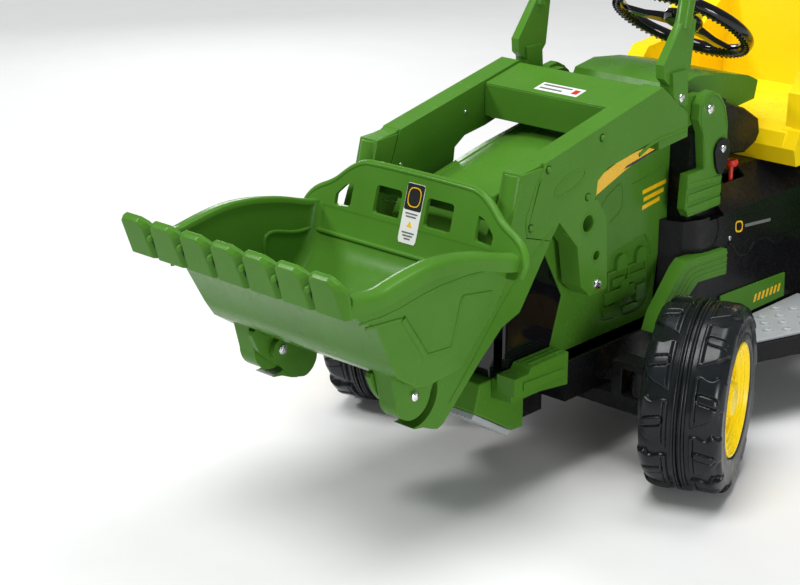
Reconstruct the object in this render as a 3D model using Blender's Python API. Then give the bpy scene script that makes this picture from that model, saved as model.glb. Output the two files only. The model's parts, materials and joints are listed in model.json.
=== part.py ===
"""Ride-on toy tractor with a front loader, in metres, +Z up, nose towards -Y, driver's left at +X.

Outlines are drawn from a datum on the floor below the left front wheel's hub, and `part` moves them by
DATUM_Y so that the finished object has its origin on the floor in the middle of its footprint.
Each sub-part is one closed solid. The loader boom turns on the two uprights, the bucket turns on the
boom's lower ends, and the front wheels are drawn steered to the driver's left.
"""
import math

import bmesh
import bpy
from mathutils import Matrix, Vector

# Driving dimensions
GAP = 0.0004                 # daylight between pieces that rest on each other
DATUM_Y = -0.1339            # the drawing datum, seen from the middle of the footprint
STEER_REST = math.radians(21.8)
FRONT_WHEEL_X = 0.300        # hub centre of the steered left wheel
FRONT_RADIUS, FRONT_WIDTH = 0.150, 0.130
REAR_RADIUS, REAR_WIDTH = 0.200, 0.150
REAR_AXLE_Y, REAR_WHEEL_X = 0.740, 0.300
FRONT_HUB_RADIUS, REAR_HUB_RADIUS = 0.090, 0.120
STUB_LENGTH = 0.090          # kingpin to wheel centre
KINGPIN = Vector((FRONT_WHEEL_X - STUB_LENGTH * math.cos(STEER_REST), -STUB_LENGTH * math.sin(STEER_REST), 0))
STEERING_ARM = 0.050         # kingpin to tie rod pin
AXLE_ROD_RADIUS = 0.006
AXLE_SETBACK = 0.0128        # the axles end this far inside the tyre's outer side, in the hubs' blind bores
RUNNING_FIT = 0.0002         # radial clearance of a pin in its hole
TYRE_WALL = 0.006

HOOD_HALF_WIDTH = 0.1125
PANEL_THICKNESS = 0.005
BODY_HALF_WIDTH = 0.165
SILL_Z = 0.200               # bottom edge of the bonnet's side panels
HOOD_CROWN = 0.016
HOOD_EDGE = ((-0.262, 0.418), (-0.235, 0.440), (-0.162, 0.455), (-0.034, 0.484), (0.059, 0.500),
             (0.165, 0.511))
HOOD_THICKNESS = 0.014

ARM_INNER, ARM_OUTER = 0.124, 0.161
HEEL_INNER, HEEL_OUTER = 0.1300, 0.1475
COLUMN_HALF_WIDTH = 0.148    # black column in front of the driver, which carries the uprights
COLUMN_TOP_Z = 0.505
BOOM_PIVOT = (0.190, 0.544)  # y, z of the bolt on which the boom turns
BUCKET_PIVOT = (-0.497, 0.259)
PIVOT_PIN_RADIUS = 0.0045

BUCKET_WALL = 0.004
BUCKET_RIM = ((-0.668, 0.4620), (-0.653, 0.4580), (-0.632, 0.4550), (-0.610, 0.4548), (-0.590, 0.4592),
              (-0.565, 0.4640), (-0.534, 0.4685), (-0.510, 0.4700), (-0.490, 0.4692), (-0.465, 0.4670),
              (-0.430, 0.4610), (-0.400, 0.4545), (-0.360, 0.4420), (-0.334, 0.4365))
BUCKET_PROFILE = ((-0.658, 0.427), (-0.606, 0.398), (-0.573, 0.335), (-0.557, 0.310), (-0.521, 0.286),
                  (-0.500, 0.280), (-0.430, 0.287), (-0.417, 0.300), (-0.360, 0.357), (-0.341, 0.392),
                  (-0.329, 0.432)) + tuple((y, z - 0.004) for y, z in reversed(BUCKET_RIM[1:]))
BUCKET_HALF_LOW, BUCKET_HALF_HIGH = 0.186, 0.196
BACK_PLATE_LEAN = 0.29       # the bucket's back plate leans back this much for each unit of height
BACK_PLATE = ((0.206, 0.400), (0.2155, 0.405), (0.2215, 0.428), (0.216, 0.441), (0.206, 0.452), (0.193, 0.460),
              (0.178, 0.4665), (0.162, 0.4755), (0.148, 0.488), (0.134, 0.4985), (0.118, 0.507), (0.100, 0.511))
LIP_HALF_WIDTH = 0.2185
LIP_FOOT_HALF_WIDTH = 0.2135
LIP_TEETH = 7
BACK_WINDOW = ((0.0250, 0.438), (0.0770, 0.438), (0.0770, 0.480), (0.0250, 0.480))
BACK_CORNER_HOLE = ((0.1235, 0.438), (0.156, 0.435), (0.157, 0.451), (0.139, 0.469), (0.1235, 0.475))
INNER_LUG = ((-0.553, 0.303), (-0.536, 0.265), (-0.5218, 0.2489), (-0.4985, 0.233), (-0.480, 0.217),
             (-0.461, 0.2016), (-0.4400, 0.1965), (-0.4250, 0.205), (-0.4155, 0.219), (-0.4150, 0.245),
             (-0.430, 0.291))

STEERING_CENTRE = Vector((0, 0.345, 0.640))
COLUMN_FOOT = Vector((0, 0.225, 0.455))
STEERING_RADIUS = 0.115
STEERING_RATIO = 0.55        # road wheel angle over steering wheel angle
STEERING_REST = STEER_REST / STEERING_RATIO

SEAT_HALF_WIDTH = 0.190
SEAT_TOP_Z = 0.405           # top of the body, where the seat rests
BOARD_TOP_Z = 0.151          # top of the black steps under the footplates

FOOTPLATE_TOP_Z = 0.157

SIDES = (("left", False), ("right", True))


# Shape helpers
def closed(bm):
    bmesh.ops.recalc_face_normals(bm, faces=bm.faces)
    return bm


def prism(outline, low, high, axis="X"):
    """A straight solid: the outline lies across the axis, in the order (y, z), (x, z) or (x, y)."""
    place = {
        "X": lambda a, b, t: (t, a, b),
        "Y": lambda a, b, t: (a, t, b),
        "Z": lambda a, b, t: (a, b, t),
    }[axis]
    bm = bmesh.new()
    loops = [[bm.verts.new(place(a, b, t)) for a, b in outline] for t in (low, high)]
    for loop in loops:
        bm.faces.new(loop)
    count = len(outline)
    for i in range(count):
        j = (i + 1) % count
        bm.faces.new((loops[0][i], loops[0][j], loops[1][j], loops[1][i]))
    return closed(bm)


def box(x, y, z):
    return prism(((y[0], z[0]), (y[1], z[0]), (y[1], z[1]), (y[0], z[1])), x[0], x[1])


def loft(sections):
    """A solid through closed rings of equal length, capped at both ends."""
    bm = bmesh.new()
    rings = [[bm.verts.new(point) for point in section] for section in sections]
    count = len(rings[0])
    for low, high in zip(rings, rings[1:]):
        for i in range(count):
            j = (i + 1) % count
            bm.faces.new((low[i], low[j], high[j], high[i]))
    bm.faces.new(rings[0])
    bm.faces.new(rings[-1])
    return closed(bm)


def turned(profile, centre=(0, 0, 0), axis=(1, 0, 0), segments=32, ring=False):
    """A turned solid from a profile of (radius, distance along the axis); a ring's profile closes on itself."""
    bm = bmesh.new()
    rows = []
    for radius, along in profile:
        count = segments if radius > 0 else 1
        angles = [2 * math.pi * i / segments for i in range(count)]
        rows.append([bm.verts.new((radius * math.cos(a), radius * math.sin(a), along)) for a in angles])
    pairs = list(zip(rows, rows[1:]))
    if ring:
        pairs.append((rows[-1], rows[0]))
    for first, second in pairs:
        for i in range(segments):
            j = (i + 1) % segments
            corners = [first[i % len(first)], first[j % len(first)], second[j % len(second)],
                       second[i % len(second)]]
            unique = list(dict.fromkeys(corners))
            if len(unique) > 2:
                bm.faces.new(unique)
    turn = Vector((0, 0, 1)).rotation_difference(Vector(axis)).to_matrix().to_4x4()
    bmesh.ops.transform(bm, matrix=Matrix.Translation(Vector(centre)) @ turn, verts=bm.verts)
    return closed(bm)


def rod(start, end, radius, segments=16):
    start, end = Vector(start), Vector(end)
    length = (end - start).length
    return turned(((0, 0), (radius, 0), (radius, length), (0, length)), start, end - start, segments)


def arc(centre, radius, first, last, steps):
    """Points along an arc, with angles in degrees from the first axis towards the second."""
    angles = [math.radians(first + (last - first) * i / steps) for i in range(steps + 1)]
    return [(centre[0] + radius * math.cos(a), centre[1] + radius * math.sin(a)) for a in angles]


def edge_height(y):
    """Height of the bonnet's long edge at this place along it."""
    for (y0, z0), (y1, z1) in zip(HOOD_EDGE, HOOD_EDGE[1:]):
        if y <= y1:
            return z0 + (z1 - z0) * (y - y0) / (y1 - y0)
    return HOOD_EDGE[-1][1]


# Objects and materials
def clear_scene():
    for old in list(bpy.data.objects):
        bpy.data.objects.remove(old)


def material(name, colour, roughness, metallic=0.0):
    made = bpy.data.materials.new(name)
    made.use_nodes = True
    shader = made.node_tree.nodes["Principled BSDF"]
    shader.inputs["Base Color"].default_value = (*colour, 1)
    shader.inputs["Roughness"].default_value = roughness
    shader.inputs["Metallic"].default_value = metallic
    made.diffuse_color = (*colour, 1)
    return made


def helper_object(bm):
    mesh = bpy.data.meshes.new("helper")
    bm.to_mesh(mesh)
    bm.free()
    made = bpy.data.objects.new("helper", mesh)
    made.hide_render = True
    made.display_type = "WIRE"
    bpy.context.scene.collection.objects.link(made)
    return made


def carved(pieces, cuts):
    """One mesh: the pieces united and the cuts taken away."""
    base = helper_object(pieces[0])
    helpers = [base]
    for operation, shapes in (("UNION", pieces[1:]), ("DIFFERENCE", cuts)):
        for shape in shapes:
            helper = helper_object(shape)
            helpers.append(helper)
            step = base.modifiers.new(operation, "BOOLEAN")
            step.operation = operation
            step.object = helper
    graph = bpy.context.evaluated_depsgraph_get()
    mesh = bpy.data.meshes.new_from_object(base.evaluated_get(graph))
    for helper in helpers:
        bpy.data.objects.remove(helper)
    return mesh


def part(name, slot, pieces, cuts=(), origin=(0, 0, 0), mirror=False):
    """A named sub-part from shapes drawn at the datum; a mirrored one has its X turned over."""
    mesh = carved(pieces, cuts)
    origin = Vector((-origin[0] if mirror else origin[0], origin[1] + DATUM_Y, origin[2]))
    mesh.transform(Matrix.Diagonal((-1 if mirror else 1, 1, 1, 1)))
    if mirror:
        mesh.flip_normals()
    mesh.transform(Matrix.Translation(Vector((0, DATUM_Y, 0)) - origin))
    mesh.name = name
    mesh.materials.clear()
    mesh.materials.append(slot)
    mesh.shade_smooth()
    mesh.set_sharp_from_angle(angle=math.radians(30))
    made = bpy.data.objects.new(name, mesh)
    made.location = origin
    bpy.context.scene.collection.objects.link(made)
    return made


def both_sides(name, slot, shape, origin=(0, 0, 0)):
    """The left piece and its mirror image; shape() returns the pieces and the cuts."""
    for side, mirror in SIDES:
        pieces, cuts = shape()
        part(f"{name}_{side}", slot, pieces, cuts, origin, mirror)


# Tractor frame
def chassis(mats):
    spine = box((-0.120, 0.120), (0.130, 0.900), (0.100, 0.1346))
    nose = box((-0.145, 0.145), (-0.1355, 0.1650), (0.1350, 0.1992))
    link = box((-0.110, 0.110), (0.125, 0.1645), (0.110, 0.1500))
    tray = box((-0.095, 0.095), (-0.1796, -0.1300), (0.1070, 0.1650))
    column_slot = box((-0.034, 0.034), (-0.010, 0.120), (0.090, 0.210))
    tie_rod_slot = box((-0.200, 0.200), (0.0, 0.030), (0.1390, 0.1520))
    rooms = [box((-0.114, 0.114), (0.170, 0.894), (0.106, 0.150)),
             box((-0.139, 0.139), (-0.1295, 0.159), (0.1535, 0.250)),
             box((-0.089, 0.089), (-0.1736, -0.1420), (0.113, 0.250))]
    part("chassis_frame", mats["body_black"], [spine, nose, link, tray], [column_slot, tie_rod_slot] + rooms)


def front_axle(mats):
    y = KINGPIN.y
    pieces = [box((-0.2364, 0.2364), (y - 0.020, y + 0.020), (0.108, 0.1345))]
    for sign in (-1, 1):
        low, high = sorted((sign * 0.172, sign * 0.192))
        pieces.append(box((low, high), (y - 0.020, y + 0.020), (0.130, 0.190)))
        low, high = sorted((sign * 0.185, sign * 0.2364))
        pieces.append(box((low, high), (y - 0.020, y + 0.020), (0.1782, 0.190)))
    part("front_axle_beam", mats["body_black"], pieces)


def front_end(mats):
    rear = -0.1362
    pieces = [box((-0.140, 0.140), (-0.2600, rear), (0.168, 0.1992))]
    bar = ((-0.264, 0.182), (-0.264, 0.211), (-0.232, 0.211), (-0.226, 0.220), (rear, 0.220), (rear, 0.166))
    for sign in (-1, 1):
        pieces.append(prism(bar, *sorted((sign * 0.1140, sign * 0.150))))
    neck = box((-0.1006, 0.1006), (-0.30, -0.1790), (0.08, 0.1992))
    part("front_bumper", mats["green"], pieces, [neck])
    weight = ((-0.285, 0.196), (-0.298, 0.152), (-0.207, 0.096), (-0.1800, 0.094), (-0.1800, 0.196))
    part("front_weight", mats["green"], [prism(weight, -0.100, 0.100)])
    skid = ((-0.2955, 0.1500), (-0.3010, 0.1430), (-0.2160, 0.0895), (-0.2080, 0.0955))
    part("front_skid_plate", mats["grey"], [prism(skid, -0.098, 0.098)])


def side_panel_outline():
    top = [(y, edge_height(y) - HOOD_THICKNESS - GAP) for y in (0.164, 0.059, -0.034, -0.162, -0.235)]
    return top + [(-0.155, 0.375), (-0.109, 0.295), (-0.141, SILL_Z), (0.130, SILL_Z), (0.144, 0.305),
                  (0.164, 0.355)]


def bonnet(mats):
    def sections(edge, inset, below):
        rings = []
        for y, z in edge:
            low = z - HOOD_THICKNESS - below
            width = (HOOD_HALF_WIDTH if y > -0.25 else HOOD_HALF_WIDTH - 0.010) - inset
            crown = [(x * width, y, z + HOOD_CROWN * (1 - x * x) - inset) for x in (1, 0.66, 0.33, 0, -0.33,
                                                                                    -0.66, -1)]
            rings.append([(-width, y, low), (width, y, low)] + crown)
        return loft(rings)

    room_edge = [(-0.240, edge_height(-0.240))] + list(HOOD_EDGE[2:-1]) + [(0.159, edge_height(0.159))]
    part("hood_top", mats["green"], [sections(HOOD_EDGE, 0, 0)],
         [sections(room_edge, PANEL_THICKNESS + 0.001, 0.010)])

    def panel():
        inner = HOOD_HALF_WIDTH - PANEL_THICKNESS
        plate = prism(side_panel_outline(), inner, HOOD_HALF_WIDTH)
        return [plate], []

    both_sides("side_panel", mats["green"], panel)


def grille(mats):
    g = GAP
    rear = [(-0.1417, SILL_Z), (-0.1100, 0.295), (-0.1562, 0.375),
            (-0.2365, edge_height(-0.2365) - HOOD_THICKNESS - g)]
    front = [(-0.261, 0.4035), (-0.272, 0.340), (-0.272, 0.280), (-0.262, SILL_Z)]
    rear = [(y - g, z) for y, z in rear]
    shell = prism(rear + front, -HOOD_HALF_WIDTH + 0.001, HOOD_HALF_WIDTH - 0.001)
    wall = 0.004
    room = box((-HOOD_HALF_WIDTH + 0.001 + wall, HOOD_HALF_WIDTH - 0.001 - wall), (-0.256, 0.0),
               (0.190, 0.395))
    corners = []
    for sign in (-1, 1):
        edge = sign * HOOD_HALF_WIDTH
        corner = ((edge * 1.1, -0.30), (edge * 1.1, -0.225), (edge, -0.235), (edge * 0.80, -0.275),
                  (edge * 0.80, -0.30))
        corners.append(prism(corner, 0.15, 0.45, "Z"))
    part("grille", mats["gloss_black"], [shell], [room] + corners)


def running_board(mirror):
    """The step beside the body, moulded in one with it, and the room under it; it widens towards the rear."""
    plan = [(0.1620, 0.193), (0.232, 0.193), (0.254, 0.243), (0.280, 0.318), (0.320, 0.433), (0.326, 0.475),
            (0.305, 0.502),
            (0.1620, 0.502)]
    under = [(0.1680, 0.199), (0.228, 0.199), (0.248, 0.245), (0.274, 0.320), (0.314, 0.435), (0.320, 0.473),
             (0.302, 0.496),
             (0.1680, 0.496)]
    sign = -1 if mirror else 1
    board = prism([(sign * x, y) for x, y in plan], 0.120, BOARD_TOP_Z, "Z")
    return board, prism([(sign * x, y) for x, y in under], 0.110, BOARD_TOP_Z - 0.006, "Z")


def body_shoulder(mirror, margin=0.0):
    """The body's front corner, which widens from the bonnet to the full body."""
    plan = [(0.1131 - margin, 0.1750), (0.1131 - margin, 0.1420 - margin), (0.1500 + margin, 0.1560 - margin),
            (BODY_HALF_WIDTH + margin, 0.1900), (BODY_HALF_WIDTH + margin, 0.2100)]
    sign = -1 if mirror else 1
    return prism([(sign * x, y) for x, y in plan], 0.2000 - 10 * margin, 0.3600 + 10 * margin, "Z")


def body(mats):
    outline = [(0.1655, 0.1352), (0.1655, 0.353), (0.885, 0.353), (0.905, 0.1352)]
    top = SEAT_TOP_Z - GAP
    deck = [(-0.165, 0.345), (-0.165, 0.356), (-0.112, top), (0.112, top), (0.165, 0.356), (0.165, 0.345)]
    deck_room = [(-0.158, 0.335), (-0.158, 0.352), (-0.110, top - 0.005), (0.110, top - 0.005),
                 (0.158, 0.352),
                 (0.158, 0.335)]
    wall = 0.005
    shell = prism(outline, -BODY_HALF_WIDTH, BODY_HALF_WIDTH)
    column = box((-COLUMN_HALF_WIDTH, COLUMN_HALF_WIDTH), (0.1655, 0.2640), (0.340, COLUMN_TOP_Z))
    pieces = [shell, column, prism(deck, 0.2500, 0.870, "Y")]
    cuts = []
    for side, mirror in SIDES:
        low, high = sorted(((-1 if mirror else 1) * 0.1350, (-1 if mirror else 1) * COLUMN_HALF_WIDTH))
        board, under = running_board(mirror)
        pieces += [board, body_shoulder(mirror), box((low, high), (0.2500, 0.2640), (0.490, 0.545))]
        corner = ((0.1501, 0.140), (0.1501, 0.1562), (0.1651, 0.1902), (0.180, 0.1902), (0.180, 0.140))
        cuts += [under, prism([((-1 if mirror else 1) * x, y) for x, y in corner], 0.1, 0.5, "Z")]
    x = BODY_HALF_WIDTH - wall
    y = COLUMN_HALF_WIDTH - wall
    inside = [(0.1860, 0.110), (0.1860, 0.347), (0.875, 0.347), (0.898, 0.110)]
    rooms = [prism(inside, -x, x), prism(deck_room, 0.2560, 0.865, "Y"),
             box((-y, y), (0.1705, 0.2590), (0.330, 0.500))]
    axle_hole = rod((-0.3, REAR_AXLE_Y, REAR_RADIUS), (0.3, REAR_AXLE_Y, REAR_RADIUS),
                    AXLE_ROD_RADIUS + 0.001)
    column_hole = box((-0.020, 0.020), (0.150, 0.300), (0.30, 0.52))
    lever_slot = box((0.112, 0.128), (0.302, 0.366), (0.360, 0.42))
    toe = box((-0.020, 0.020), (0.150, 0.180), (0.110, 0.210))
    part("body_shell", mats["body_black"], pieces, cuts + rooms + [axle_hole, column_hole, lever_slot, toe])


def dash(mats):
    low = COLUMN_TOP_Z + GAP
    outline = [(0.1655, low), (0.1655, 0.530), (0.190, 0.572), (0.241, 0.580), (0.314, 0.572), (0.395, 0.555),
               (0.425, 0.542), (0.417, 0.511), (0.359, 0.506), (0.300, low)]
    room = [(0.1705, 0.490), (0.1705, 0.528), (0.193, 0.566), (0.241, 0.574), (0.290, 0.566), (0.290, 0.490)]
    wall = 0.005
    pieces = [prism(outline, -0.105, 0.105)]
    direction = (STEERING_CENTRE - COLUMN_FOOT).normalized()
    bore = rod(COLUMN_FOOT - direction * 0.15, STEERING_CENTRE, 0.0145, 24)
    part("dash_console", mats["green"], pieces, [prism(room, -0.105 + wall, 0.105 - wall), bore])


def footplates(mats):
    def plate():
        plan = [(0.170, 0.200), (0.226, 0.200), (0.247, 0.245), (0.273, 0.320), (0.312, 0.432),
                (0.318, 0.470), (0.300, 0.494),
                (0.170, 0.494)]
        return [prism(plan, BOARD_TOP_Z + GAP, FOOTPLATE_TOP_Z, "Z")], []

    both_sides("footplate", mats["grey"], plate)


def body_trim(mats):
    inner = BODY_HALF_WIDTH + GAP

    def rocker():
        return [prism(((0.250, 0.214), (0.450, 0.206), (0.452, 0.162), (0.250, 0.162)), inner, 0.1690)], []

    def strip():
        outline = ((0.246, 0.300), (0.248, 0.256), (0.166, 0.262), (0.140, 0.244), (0.112, 0.2060),
                   (0.048, 0.2060), (0.060, 0.234), (0.118, 0.296), (0.134, 0.306))
        body_side = box((0.0, inner), (0.1890, 0.300), (0.100, 0.400))
        return [prism(outline, 0.1530, 0.178)], [body_side, body_shoulder(False, GAP)]

    both_sides("rocker_panel", mats["green"], rocker)
    both_sides("mudguard_strip", mats["green"], strip)


def fenders(mats):
    centre = (REAR_AXLE_Y, REAR_RADIUS)

    def fender():
        outer = arc(centre, 0.232, 12, 168, 16)
        inner = arc(centre, 0.226, 168, 12, 16)
        band = prism(outer + inner, BODY_HALF_WIDTH + GAP, 0.372)
        cheek = prism(arc(centre, 0.229, 13, 167, 16), BODY_HALF_WIDTH + GAP, 0.1700)
        return [band, cheek], []

    both_sides("fender", mats["green"], fender)


def drive(mats):
    y, z = REAR_AXLE_Y, REAR_RADIUS
    reach = REAR_WHEEL_X + REAR_WIDTH / 2 - AXLE_SETBACK
    part("rear_axle", mats["steel"], [rod((-reach, y, z), (reach, y, z), AXLE_ROD_RADIUS, 24)])

    def gearmotor():
        case = box((BODY_HALF_WIDTH + GAP, 0.2180), (y - 0.065, y + 0.045), (z - 0.050, z + 0.050))
        motor = rod((0.180, y - 0.045, z + 0.030), (0.2180, y - 0.045, z + 0.030), 0.030, 24)
        bore = rod((0.1, y, z), (0.3, y, z), AXLE_ROD_RADIUS + RUNNING_FIT, 24)
        return [case, motor], [bore]

    both_sides("gearmotor", mats["body_black"], gearmotor)
    part("battery", mats["grey"], [box((-0.075, 0.075), (0.450, 0.620), (0.106 + GAP, 0.206))])


# Uprights that carry the loader
def uprights(mats):
    inner = COLUMN_HALF_WIDTH + GAP
    block = [(0.141, 0.445), (0.137, 0.388), (0.148, 0.3735), (0.2360, 0.3745), (0.2360, 0.446)]
    plate = [(0.186, 0.440), (0.2490, 0.440), (0.2470, 0.510), (0.238, 0.540), (0.2195, 0.562),
             (0.199, 0.572),
             (0.178, 0.569), (0.1640, 0.555), (0.1620, 0.530), (0.176, 0.506)]

    def upright():
        y, z = BOOM_PIVOT
        bore = rod((0.12, y, z), (0.2, y, z), PIVOT_PIN_RADIUS + RUNNING_FIT, 24)
        return [prism(block, inner, BODY_HALF_WIDTH), prism(plate, inner, BODY_HALF_WIDTH)], [bore]

    def hub():
        outline = arc((0.229, 0.468), 0.0215, -20, 200, 12) + [(0.213, 0.444), (0.222, 0.430),
                                                               (0.234, 0.430), (0.243, 0.444)]
        return [prism(outline, BODY_HALF_WIDTH + GAP, 0.1700)], []

    def pod():
        shell = [(0.2644, 0.5240), (0.312, 0.5240), (0.351, 0.511), (0.396, 0.485), (0.402, 0.460),
                 (0.393, 0.445),
                 (0.359, 0.432), (0.2644, 0.4450)]
        return [prism(shell, 0.1056, 0.1300)], []

    def pin():
        profile = ((0, 0.1240), (PIVOT_PIN_RADIUS, 0.1240), (PIVOT_PIN_RADIUS, 0.1654), (0.0085, 0.1654),
                   (0.0085, 0.1670), (0.006, 0.1695), (0, 0.1705))
        return [turned(profile, (0, *BOOM_PIVOT), segments=24)], []

    both_sides("upright", mats["green"], upright)
    both_sides("upright_hub", mats["body_black"], hub)
    both_sides("side_pod", mats["body_black"], pod)
    both_sides("boom_pin", mats["chrome"], pin, (0, *BOOM_PIVOT))


# Loader boom
ARM_OUTLINE = ((-0.219, 0.537), (0.065, 0.600), (0.138, 0.545), (0.139, 0.508), (0.065, 0.501),
               (0.016, 0.499),
               (-0.096, 0.462), (-0.066, 0.421), (-0.059, 0.315), (-0.061, 0.306), (-0.102, 0.304),
               (-0.125, 0.324), (-0.137, 0.390), (-0.182, 0.439), (-0.202, 0.416), (-0.2600, 0.4340))
LEG_OUTLINE = ((-0.2606, 0.4332), (-0.2026, 0.4152), (-0.216, 0.396), (-0.261, 0.335), (-0.271, 0.322),
               (-0.310, 0.310),
               (-0.358, 0.271), (-0.432, 0.203))
LEG_FRONT = ((-0.412, 0.284), (-0.344, 0.346), (-0.320, 0.400), (-0.300, 0.450), (-0.281, 0.488),
             (-0.270, 0.529),
             (-0.2245, 0.531))


def boom_arms(mats):
    def arm():
        housing = prism(ARM_OUTLINE, ARM_INNER, ARM_OUTER)
        heel = prism([(0.060, 0.512), (0.060, 0.560), (0.130, 0.566)] + arc(BOOM_PIVOT, 0.022, 80, -100,
                                                                            10) + [(0.130, 0.512)],
                     HEEL_INNER, HEEL_OUTER)
        holes = [rod((0.1, y, z), (0.2, y, z), r, 20) for y, z,
                 r in ((-0.113, 0.4215, 0.013), (-0.090, 0.3660, 0.008))]
        y, z = BOOM_PIVOT
        holes.append(rod((0.1, y, z), (0.2, y, z), PIVOT_PIN_RADIUS + RUNNING_FIT, 24))
        return [housing, heel], holes

    both_sides("boom_arm", mats["green"], arm, (0, *BOOM_PIVOT))


def boom_legs(mats):
    socket = 0.0475

    def leg():
        foot_out = [(-0.440, 0.197), (-0.449, 0.1945), (-0.462, 0.1985), (-0.480, 0.2065), (-0.497, 0.2090)]
        foot_in = arc(BUCKET_PIVOT, socket, -95, 10, 12)
        bar = prism(list(LEG_OUTLINE) + foot_out + foot_in + [(-0.428, 0.272)] + list(LEG_FRONT), ARM_INNER,
                    ARM_OUTER)
        tongue = prism(arc(BUCKET_PIVOT, 0.017, 60, 300, 12) + [(-0.385, 0.262), (-0.395, 0.290)], 0.1045,
                       0.1138)
        web = prism([(-0.400, 0.262), (-0.400, 0.290), (-0.330, 0.330), (-0.305, 0.315)], 0.1045, 0.130)
        y, z = BUCKET_PIVOT
        bore = rod((0.1, y, z), (0.2, y, z), PIVOT_PIN_RADIUS + RUNNING_FIT, 24)
        return [bar, tongue, web], [bore]

    both_sides("boom_leg", mats["green"], leg, (0, *BOOM_PIVOT))


def boom_cross_members(mats):
    top = [(-0.020, 0.548), (-0.020, 0.5775), (0.065, 0.5965), (0.108, 0.564), (0.104, 0.5600),
           (0.064, 0.5900), (-0.015, 0.572),
           (-0.015, 0.548)]
    part("boom_crossmember", mats["green"], [prism(top, -0.1235, 0.1235)], origin=(0, *BOOM_PIVOT))
    pieces = [box((-0.1235, 0.1235), (-0.298, -0.280), (0.458, 0.497))]
    for sign in (-1, 1):
        low, high = sorted((sign * 0.1150, sign * 0.1235))
        pieces.append(box((low, high), (-0.298, -0.262), (0.458, 0.497)))
    part("boom_lower_bar", mats["green"], pieces, origin=(0, *BOOM_PIVOT))


# The levers stand on the sloping rear top of the arms, so this slice below that slope is left to the arms.
ARM_CLEARANCE = ((0.040, 0.500), (0.040, 0.6194), (0.0652, 0.6005), (0.1386, 0.5454), (0.1386, 0.500))


def boom_levers(mats):
    strut = [(0.100, 0.592), (0.131, 0.592), (0.150, 0.612), (0.160, 0.690), (0.132, 0.700), (0.078, 0.630),
             (0.080, 0.608)]

    def lever():
        blade = prism(strut, 0.137, 0.152)
        foot = prism([(0.100, 0.5770), (0.112, 0.566), (0.131, 0.5560), (0.140, 0.560), (0.135, 0.615),
                      (0.095, 0.615)], 0.1325, 0.158)
        grip = rod((0.1445, 0.1340, 0.680), (0.1445, 0.152, 0.765), 0.013, 20)
        heel_room = box((0.120, HEEL_OUTER + GAP), (0.040, 0.240), (0.500, 0.5665))
        return [blade, foot, grip], [prism(ARM_CLEARANCE, 0.12, 0.17), heel_room]

    both_sides("loader_lever", mats["green"], lever, (0, *BOOM_PIVOT))


def bucket_half_width(z):
    """Half width of the bucket's body: its side walls lean out towards the rim."""
    low, high = 0.280, 0.450
    return BUCKET_HALF_LOW + (z - low) / (high - low) * (BUCKET_HALF_HIGH - BUCKET_HALF_LOW)


def bucket_body(outline, inset):
    return loft([[(sign * (bucket_half_width(z) - inset), y, z) for y, z in outline] for sign in (-1, 1)])


def inset_profile(outline, distance):
    """The outline moved inwards by the distance, corner by corner."""
    area = sum(a[0] * b[1] - b[0] * a[1] for a, b in zip(outline, outline[1:] + outline[:1]))
    turn = 1 if area > 0 else -1
    moved = []
    for before, here, after in zip(outline[-1:] + outline[:-1], outline, outline[1:] + outline[:1]):
        first = Vector((here[0] - before[0], here[1] - before[1])).normalized()
        second = Vector((after[0] - here[0], after[1] - here[1])).normalized()
        normal = Vector((-(first + second).y, (first + second).x)).normalized() * turn
        stretch = distance / max(0.5, abs(normal.dot(Vector((-first.y, first.x)))))
        moved.append((here[0] + normal.x * stretch, here[1] + normal.y * stretch))
    return moved


def leaned(outline, front, back):
    """A plate across the bucket whose outline is given as (x, z), leaning like the bucket's back."""
    def at(x, z, y):
        return (x, y + (z - 0.435) * BACK_PLATE_LEAN, z)

    return loft([[at(x, z, y) for x, z in outline] for y in (front, back)])


def bucket(mats):
    outline = list(BUCKET_PROFILE)
    hull = bucket_body(outline, 0)
    inner = inset_profile(outline, BUCKET_WALL)[1:11]
    room = bucket_body([(-0.650, 0.60), (-0.652, 0.428)] + inner + [(-0.325, 0.60)], BUCKET_WALL)
    half = list(BACK_PLATE)
    plate = leaned(half + [(-x, z) for x, z in reversed(half)], -0.3335, -0.3265)
    pieces = [hull, plate]
    for sign in (-1, 1):
        for inner_x, outer_x, drop, height in ((0.1890, 0.2115, 0.0, 0.009), (0.2075, 0.2125, 0.0015, 0.024)):
            strip = [(y, z - drop) for y, z in BUCKET_RIM]
            strip += [(y, z - height) for y, z in reversed(BUCKET_RIM)]
            pieces.append(prism(strip, *sorted((sign * inner_x, sign * outer_x))))
        lug = arc(BUCKET_PIVOT, 0.036, 180, 350, 12) + [(-0.445, 0.290), (-0.545, 0.306)]
        pieces.append(prism(lug, *sorted((sign * 0.1260, sign * 0.1580))))
        pieces.append(prism(INNER_LUG, *sorted((sign * 0.1145, sign * 0.1235))))
    windows = []
    for sign in (-1, 1):
        for hole in (BACK_WINDOW, BACK_CORNER_HOLE):
            windows.append(leaned([(sign * x, z) for x, z in hole], -0.350, -0.310))
    y, z = BUCKET_PIVOT
    bore = rod((-0.2, y, z), (0.2, y, z), PIVOT_PIN_RADIUS + RUNNING_FIT, 24)
    part("bucket_shell", mats["green"], pieces, [room] + windows + [bore], (0, *BUCKET_PIVOT))


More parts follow.
